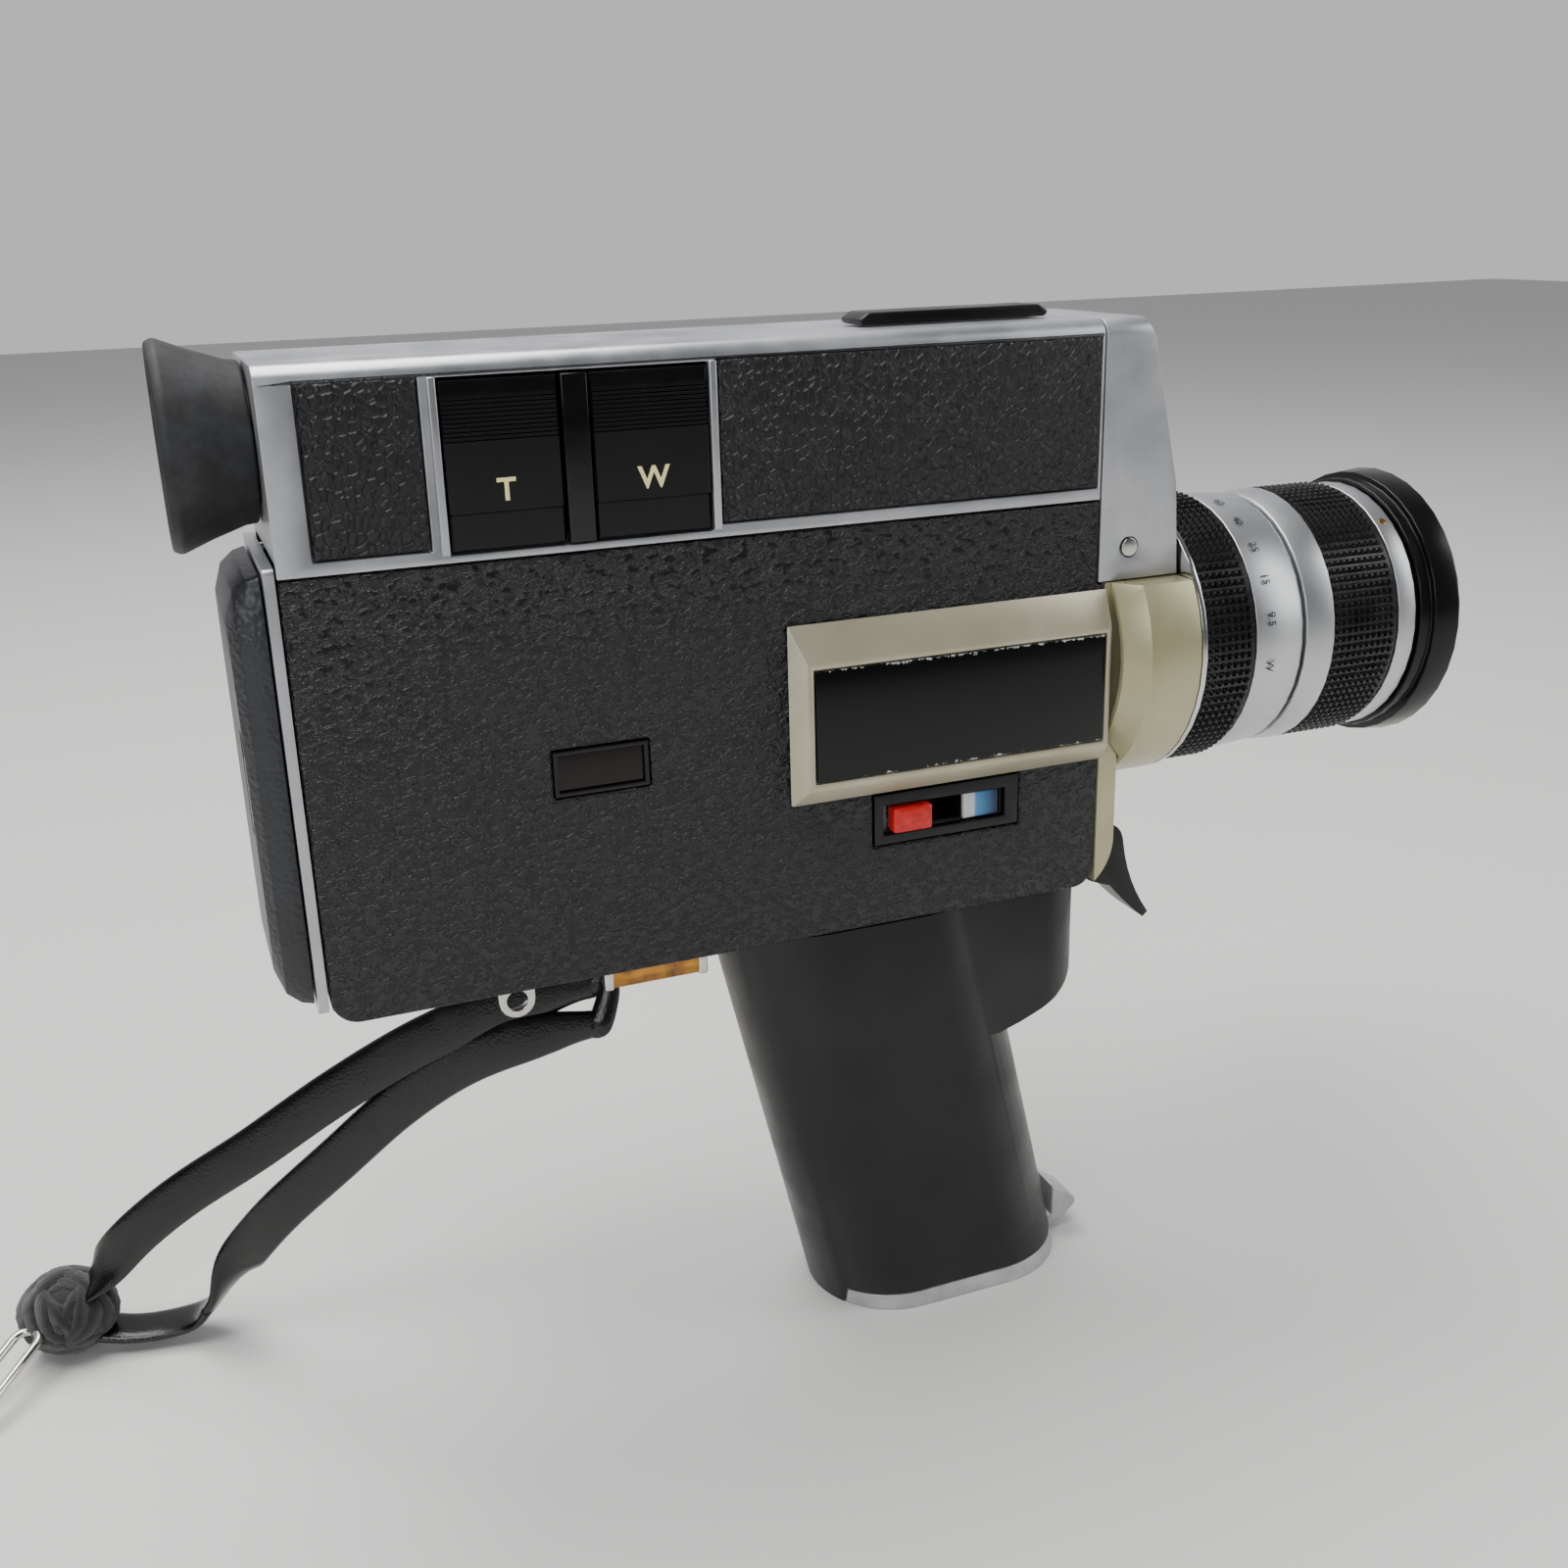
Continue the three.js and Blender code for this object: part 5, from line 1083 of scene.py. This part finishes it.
barrel_low, barrel_high = [Vector(corner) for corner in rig.box("lens_barrel")]
LENS_Y = (barrel_low.y + barrel_high.y) / 2
LENS_Z = (barrel_low.z + barrel_high.z) / 2
KNURL_DEEP = 0.75
POINTS_ROUND = 94
STEPS_PER_POINT = 4
POINT_LEVELS = (0, 1, 1, 0)


# where a row's flank starts, its flat top starts and ends, and its flank ends
KNURL_ROW = ((0.14, 0), (0.30, 1), (0.70, 1), (0.86, 0))


def knurled(name, x0, x1, bore, outer, rows):
    """A grip ring: rows of square points between two plain edges."""
    pitch = (x1 - x0 - 1.0) / rows
    start = x0 + 0.5
    levels = {}
    line = [(x0, outer - KNURL_DEEP)]
    for row in range(rows):
        for share, level in KNURL_ROW:
            x = start + (row + share) * pitch
            levels[round(x, 5)] = level
            line.append((round(x, 5), outer))
    line.append((x1, outer - KNURL_DEEP))
    line += [(x1, bore), (x0, bore)]

    def cut(x, radius, k):
        if radius != outer:
            return radius
        across = POINT_LEVELS[k % STEPS_PER_POINT]
        return outer - KNURL_DEEP * (1 - levels[x] * across)

    return turned(name, line, POINTS_ROUND * STEPS_PER_POINT, cut)


# Hard black-anodised grips, with their points polished by fingers.
grip_finish, grip_tree, grip_shader = material("knurled_grip", "#0b0b0d", 0.3, IOR=1.5)
grip_place = node(grip_tree, "TexCoord").outputs["Object"]
handled(grip_tree, grip_place, grip_shader, 5 * MM, 6, (0.35, 0.7), (0.2, 0.42))

ROW_PITCH = 1.45
for ring in ("zoom_grip", "focus_grip"):
    ring_low, ring_high = [Vector(corner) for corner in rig.box(ring)]
    ring_outer = (ring_high.z - ring_low.z) / 2 / MM
    ring_cad = frame["nodes"][ring].data
    ring_bore = min(hypot(v.co.y - LENS_Y, v.co.z - LENS_Z) for v in ring_cad.vertices) / MM
    ring_rows = round((ring_high.x - ring_low.x) / MM / ROW_PITCH)
    piece(ring + "_made", knurled(ring, ring_low.x / MM, ring_high.x / MM, ring_bore, ring_outer, ring_rows),
          grip_finish, body_of[ring], slot_of[ring], [ring], 25)

anodised = turned_aluminium("clear_anodised_aluminium", "#c2c4c6", 0.38, "X")
stand_in("zoom_ring", anodised, 0.22)
stand_in("focus_ring", anodised, 0.22)
stand_in("lens_barrel", black_metal, 0.2)
stand_in("variator_cell", glass, 0.3)
stand_in("front_glass", glass, 0.35, 40)


# The front ring is black-anodised, and rubbed through to brassy bare metal along its outermost edge.
def worn_front_ring(front_x, rim_r):
    made, tree, shader = material("worn_black_anodised", "#0c0c0d", 0.26, 0.4)
    place = node(tree, "TexCoord").outputs["Object"]
    parts = node(tree, "SeparateXYZ", {0: place})
    y2 = node(tree, "Math", {0: parts.outputs["Y"], 1: 2.0}, operation="POWER")
    drop = node(tree, "Math", {0: parts.outputs["Z"], 1: LENS_Z}, operation="SUBTRACT")
    z2 = node(tree, "Math", {0: drop, 1: 2.0}, operation="POWER")
    total = node(tree, "Math", {0: y2, 1: z2}, operation="ADD")
    radius = node(tree, "Math", {0: total}, operation="SQRT")
    rim = node(tree, "MapRange", {"Value": radius, "From Min": rim_r - 0.55 * MM, "From Max": rim_r,
                                  "To Min": 0, "To Max": 0.5})
    ahead = node(tree, "MapRange", {"Value": parts.outputs["X"], "From Min": front_x - 0.6 * MM,
                                    "From Max": front_x, "To Min": 0, "To Max": 0.5})
    edge = node(tree, "Math", {0: rim, 1: ahead}, operation="MULTIPLY")
    rub = node(tree, "TexNoise", {"Vector": place, "Scale": 1 / (4 * MM), "Detail": 7})
    wear = node(tree, "Math", {0: edge, 1: rub}, operation="MULTIPLY")
    bare = node(tree, "MapRange", {"Value": wear, "From Min": 0.05, "From Max": 0.075})
    node(tree, "MixRGB", {0: bare, 1: hex_colour("#0c0c0d"), 2: hex_colour("#a48a57")},
         to=shader.inputs["Base Color"])
    node(tree, "MapRange", {"Value": bare, "To Min": 0.4, "To Max": 1.0}, to=shader.inputs["Metallic"])
    return made


front_low, front_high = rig.box("front_ring")
stand_in("front_ring", worn_front_ring(front_high[0], (front_high[2] - front_low[2]) / 2), 0.3)


# ---- Lens scale ----
# The zoom ring's silver band carries engraved focal lengths, filled with black, that run round the ring. A
# brass index dot is pressed into the front silver band.
band_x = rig.box("zoom_grip")[1][0] + 3.6 * MM
ring_mesh = bpy.data.objects["zoom_ring_made"].data


def skin_radius(mesh, x0, x1):
    """The outermost radius of a ring's surface at any corner between two x values."""
    return max(hypot(v.co.y - LENS_Y, v.co.z - LENS_Z) for v in mesh.vertices if x0 <= v.co.x <= x1)


band_r = skin_radius(ring_mesh, band_x - 4 * MM, band_x + 1.6 * MM)


def round_ring(turn, x, radius):
    """Places lettering on a ring at a turn from straight up towards -Y, reading along the ring."""
    def put_at(u, v, w):
        angle = turn + u / radius
        r = radius + w
        return Vector((x + v, LENS_Y - r * sin(angle), LENS_Z + r * cos(angle)))
    return put_at


MARK_TALL = 1.55 * MM
for mark, degrees in (("60", 15), ("40", 30), ("25", 45), ("15", 60), ("9.5", 77), ("W", 97)):
    mark_name = "scale_" + mark.replace(".", "_")
    on_band = round_ring(radians(degrees), band_x, band_r - 0.02 * MM)
    piece(mark_name, lettering(mark, MARK_TALL, on_band, 0.05 * MM), black_ink, "zoom", "gloss_black", (), 50)

dot_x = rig.box("focus_grip")[1][0] + 2.2 * MM
dot_turn = radians(38)
dot_r = skin_radius(bpy.data.objects["focus_ring_made"].data, dot_x - 3 * MM, dot_x + 3 * MM)
brass_dot, dot_tree, dot_shader = material("brass_index", "#a9813c", 0.28, 1.0)
dot_place = node(dot_tree, "TexCoord").outputs["Object"]
dot_rub = node(dot_tree, "TexNoise", {"Vector": dot_place, "Scale": 1 / (0.4 * MM), "Detail": 4})
node(dot_tree, "MapRange", {"Value": dot_rub, "To Min": 0.2, "To Max": 0.4},
     to=dot_shader.inputs["Roughness"])
dot_verts, dot_faces = [], []
DOT_SIDES = 24
# radius and height of the dot's foot, edge and crown, in millimetres
DOT_LEVELS = ((0.75, -0.1), (0.75, 0.05), (0.5, 0.13))
for size, lift in DOT_LEVELS:
    for k in range(DOT_SIDES):
        angle = 2 * pi * k / DOT_SIDES
        place_dot = round_ring(dot_turn, dot_x, dot_r)
        dot_verts.append(place_dot(size * MM * cos(angle), size * MM * sin(angle), lift * MM))
for level in range(2):
    for k in range(DOT_SIDES):
        a, j = level * DOT_SIDES + k, level * DOT_SIDES + (k + 1) % DOT_SIDES
        dot_faces.append((a, j, j + DOT_SIDES, a + DOT_SIDES))
dot_faces += [tuple(range(DOT_SIDES))[::-1], tuple(range(2 * DOT_SIDES, 3 * DOT_SIDES))]
piece("index_dot", meshed("index_dot", dot_verts, dot_faces), brass_dot, "focus", "brass_gear")


# ---- Pistol grip ----
# A hollow moulding in satin black ABS, with four round cells inside. Its base is a grey-enamelled lid on a
# rear hinge, held shut by a small triangular lever at the front.
def grey_enamel():
    made, tree, shader = material("grey_enamel", "#b9bbbb", 0.38, 0.35)
    place = node(tree, "TexCoord").outputs["Object"]
    marks = node(tree, "TexNoise", {"Vector": place, "Scale": 1 / (6 * MM), "Detail": 7})
    node(tree, "ValToRGB", {"Fac": marks}, stops=[(0.35, "#a9abab"), (0.65, "#c3c5c5")],
         to=shader.inputs["Base Color"])
    raised(tree, place, shader, 0.3 * MM, 3, 0.2, 0.04 * MM)
    return made


grey = grey_enamel()
stand_in("grip_shell", satin_black, 0.5)
stand_in("grip_lid", grey, 0.3)
stand_in("lid_lever", grey, 0.3)


# ---- Mechanism ----
# Out of sight: a ribbed cast frame, a brass gear train, the steel shutter, gate and take-up spindle, the
# motor, and four cells in printed jackets. Their CAD shapes stay, with the finish each would have.
def machined(name, code, roughness, metallic, grain, deep):
    made, tree, shader = material(name, code, roughness, metallic)
    place = node(tree, "TexCoord").outputs["Object"]
    texture = node(tree, "TexNoise", {"Vector": place, "Scale": 1 / (grain * MM), "Detail": 5})
    node(tree, "Bump", {"Height": texture, "Strength": 0.3, "Distance": deep * MM},
         to=shader.inputs["Normal"])
    node(tree, "MapRange", {"Value": texture, "To Min": roughness - 0.1, "To Max": roughness + 0.1},
         to=shader.inputs["Roughness"])
    return made


inner_finish = {
    "cast_metal": machined("sand_cast_alloy", "#8c8e90", 0.5, 0.9, 0.6, 0.08),
    "brass_gear": machined("cut_brass", "#b08d4a", 0.3, 1.0, 0.5, 0.03),
    "steel": machined("ground_steel", "#a3a5a8", 0.28, 1.0, 0.4, 0.03),
    "cell_jacket": machined("printed_jacket", "#27507f", 0.32, 0.3, 3.0, 0.03),
}
for cad_node in frame["nodes"]:
    if slot_of[cad_node] in inner_finish and cad_node + "_made" not in bpy.data.objects:
        for holder in frame["nodes"][cad_node].material_slots:
            holder.material = inner_finish[slot_of[cad_node]]


with open("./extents.json", "w") as size_file:
    json.dump({"cad": [list(corner) for corner in cad_box], "visual": [list(c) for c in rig.bounds()]}, size_file)
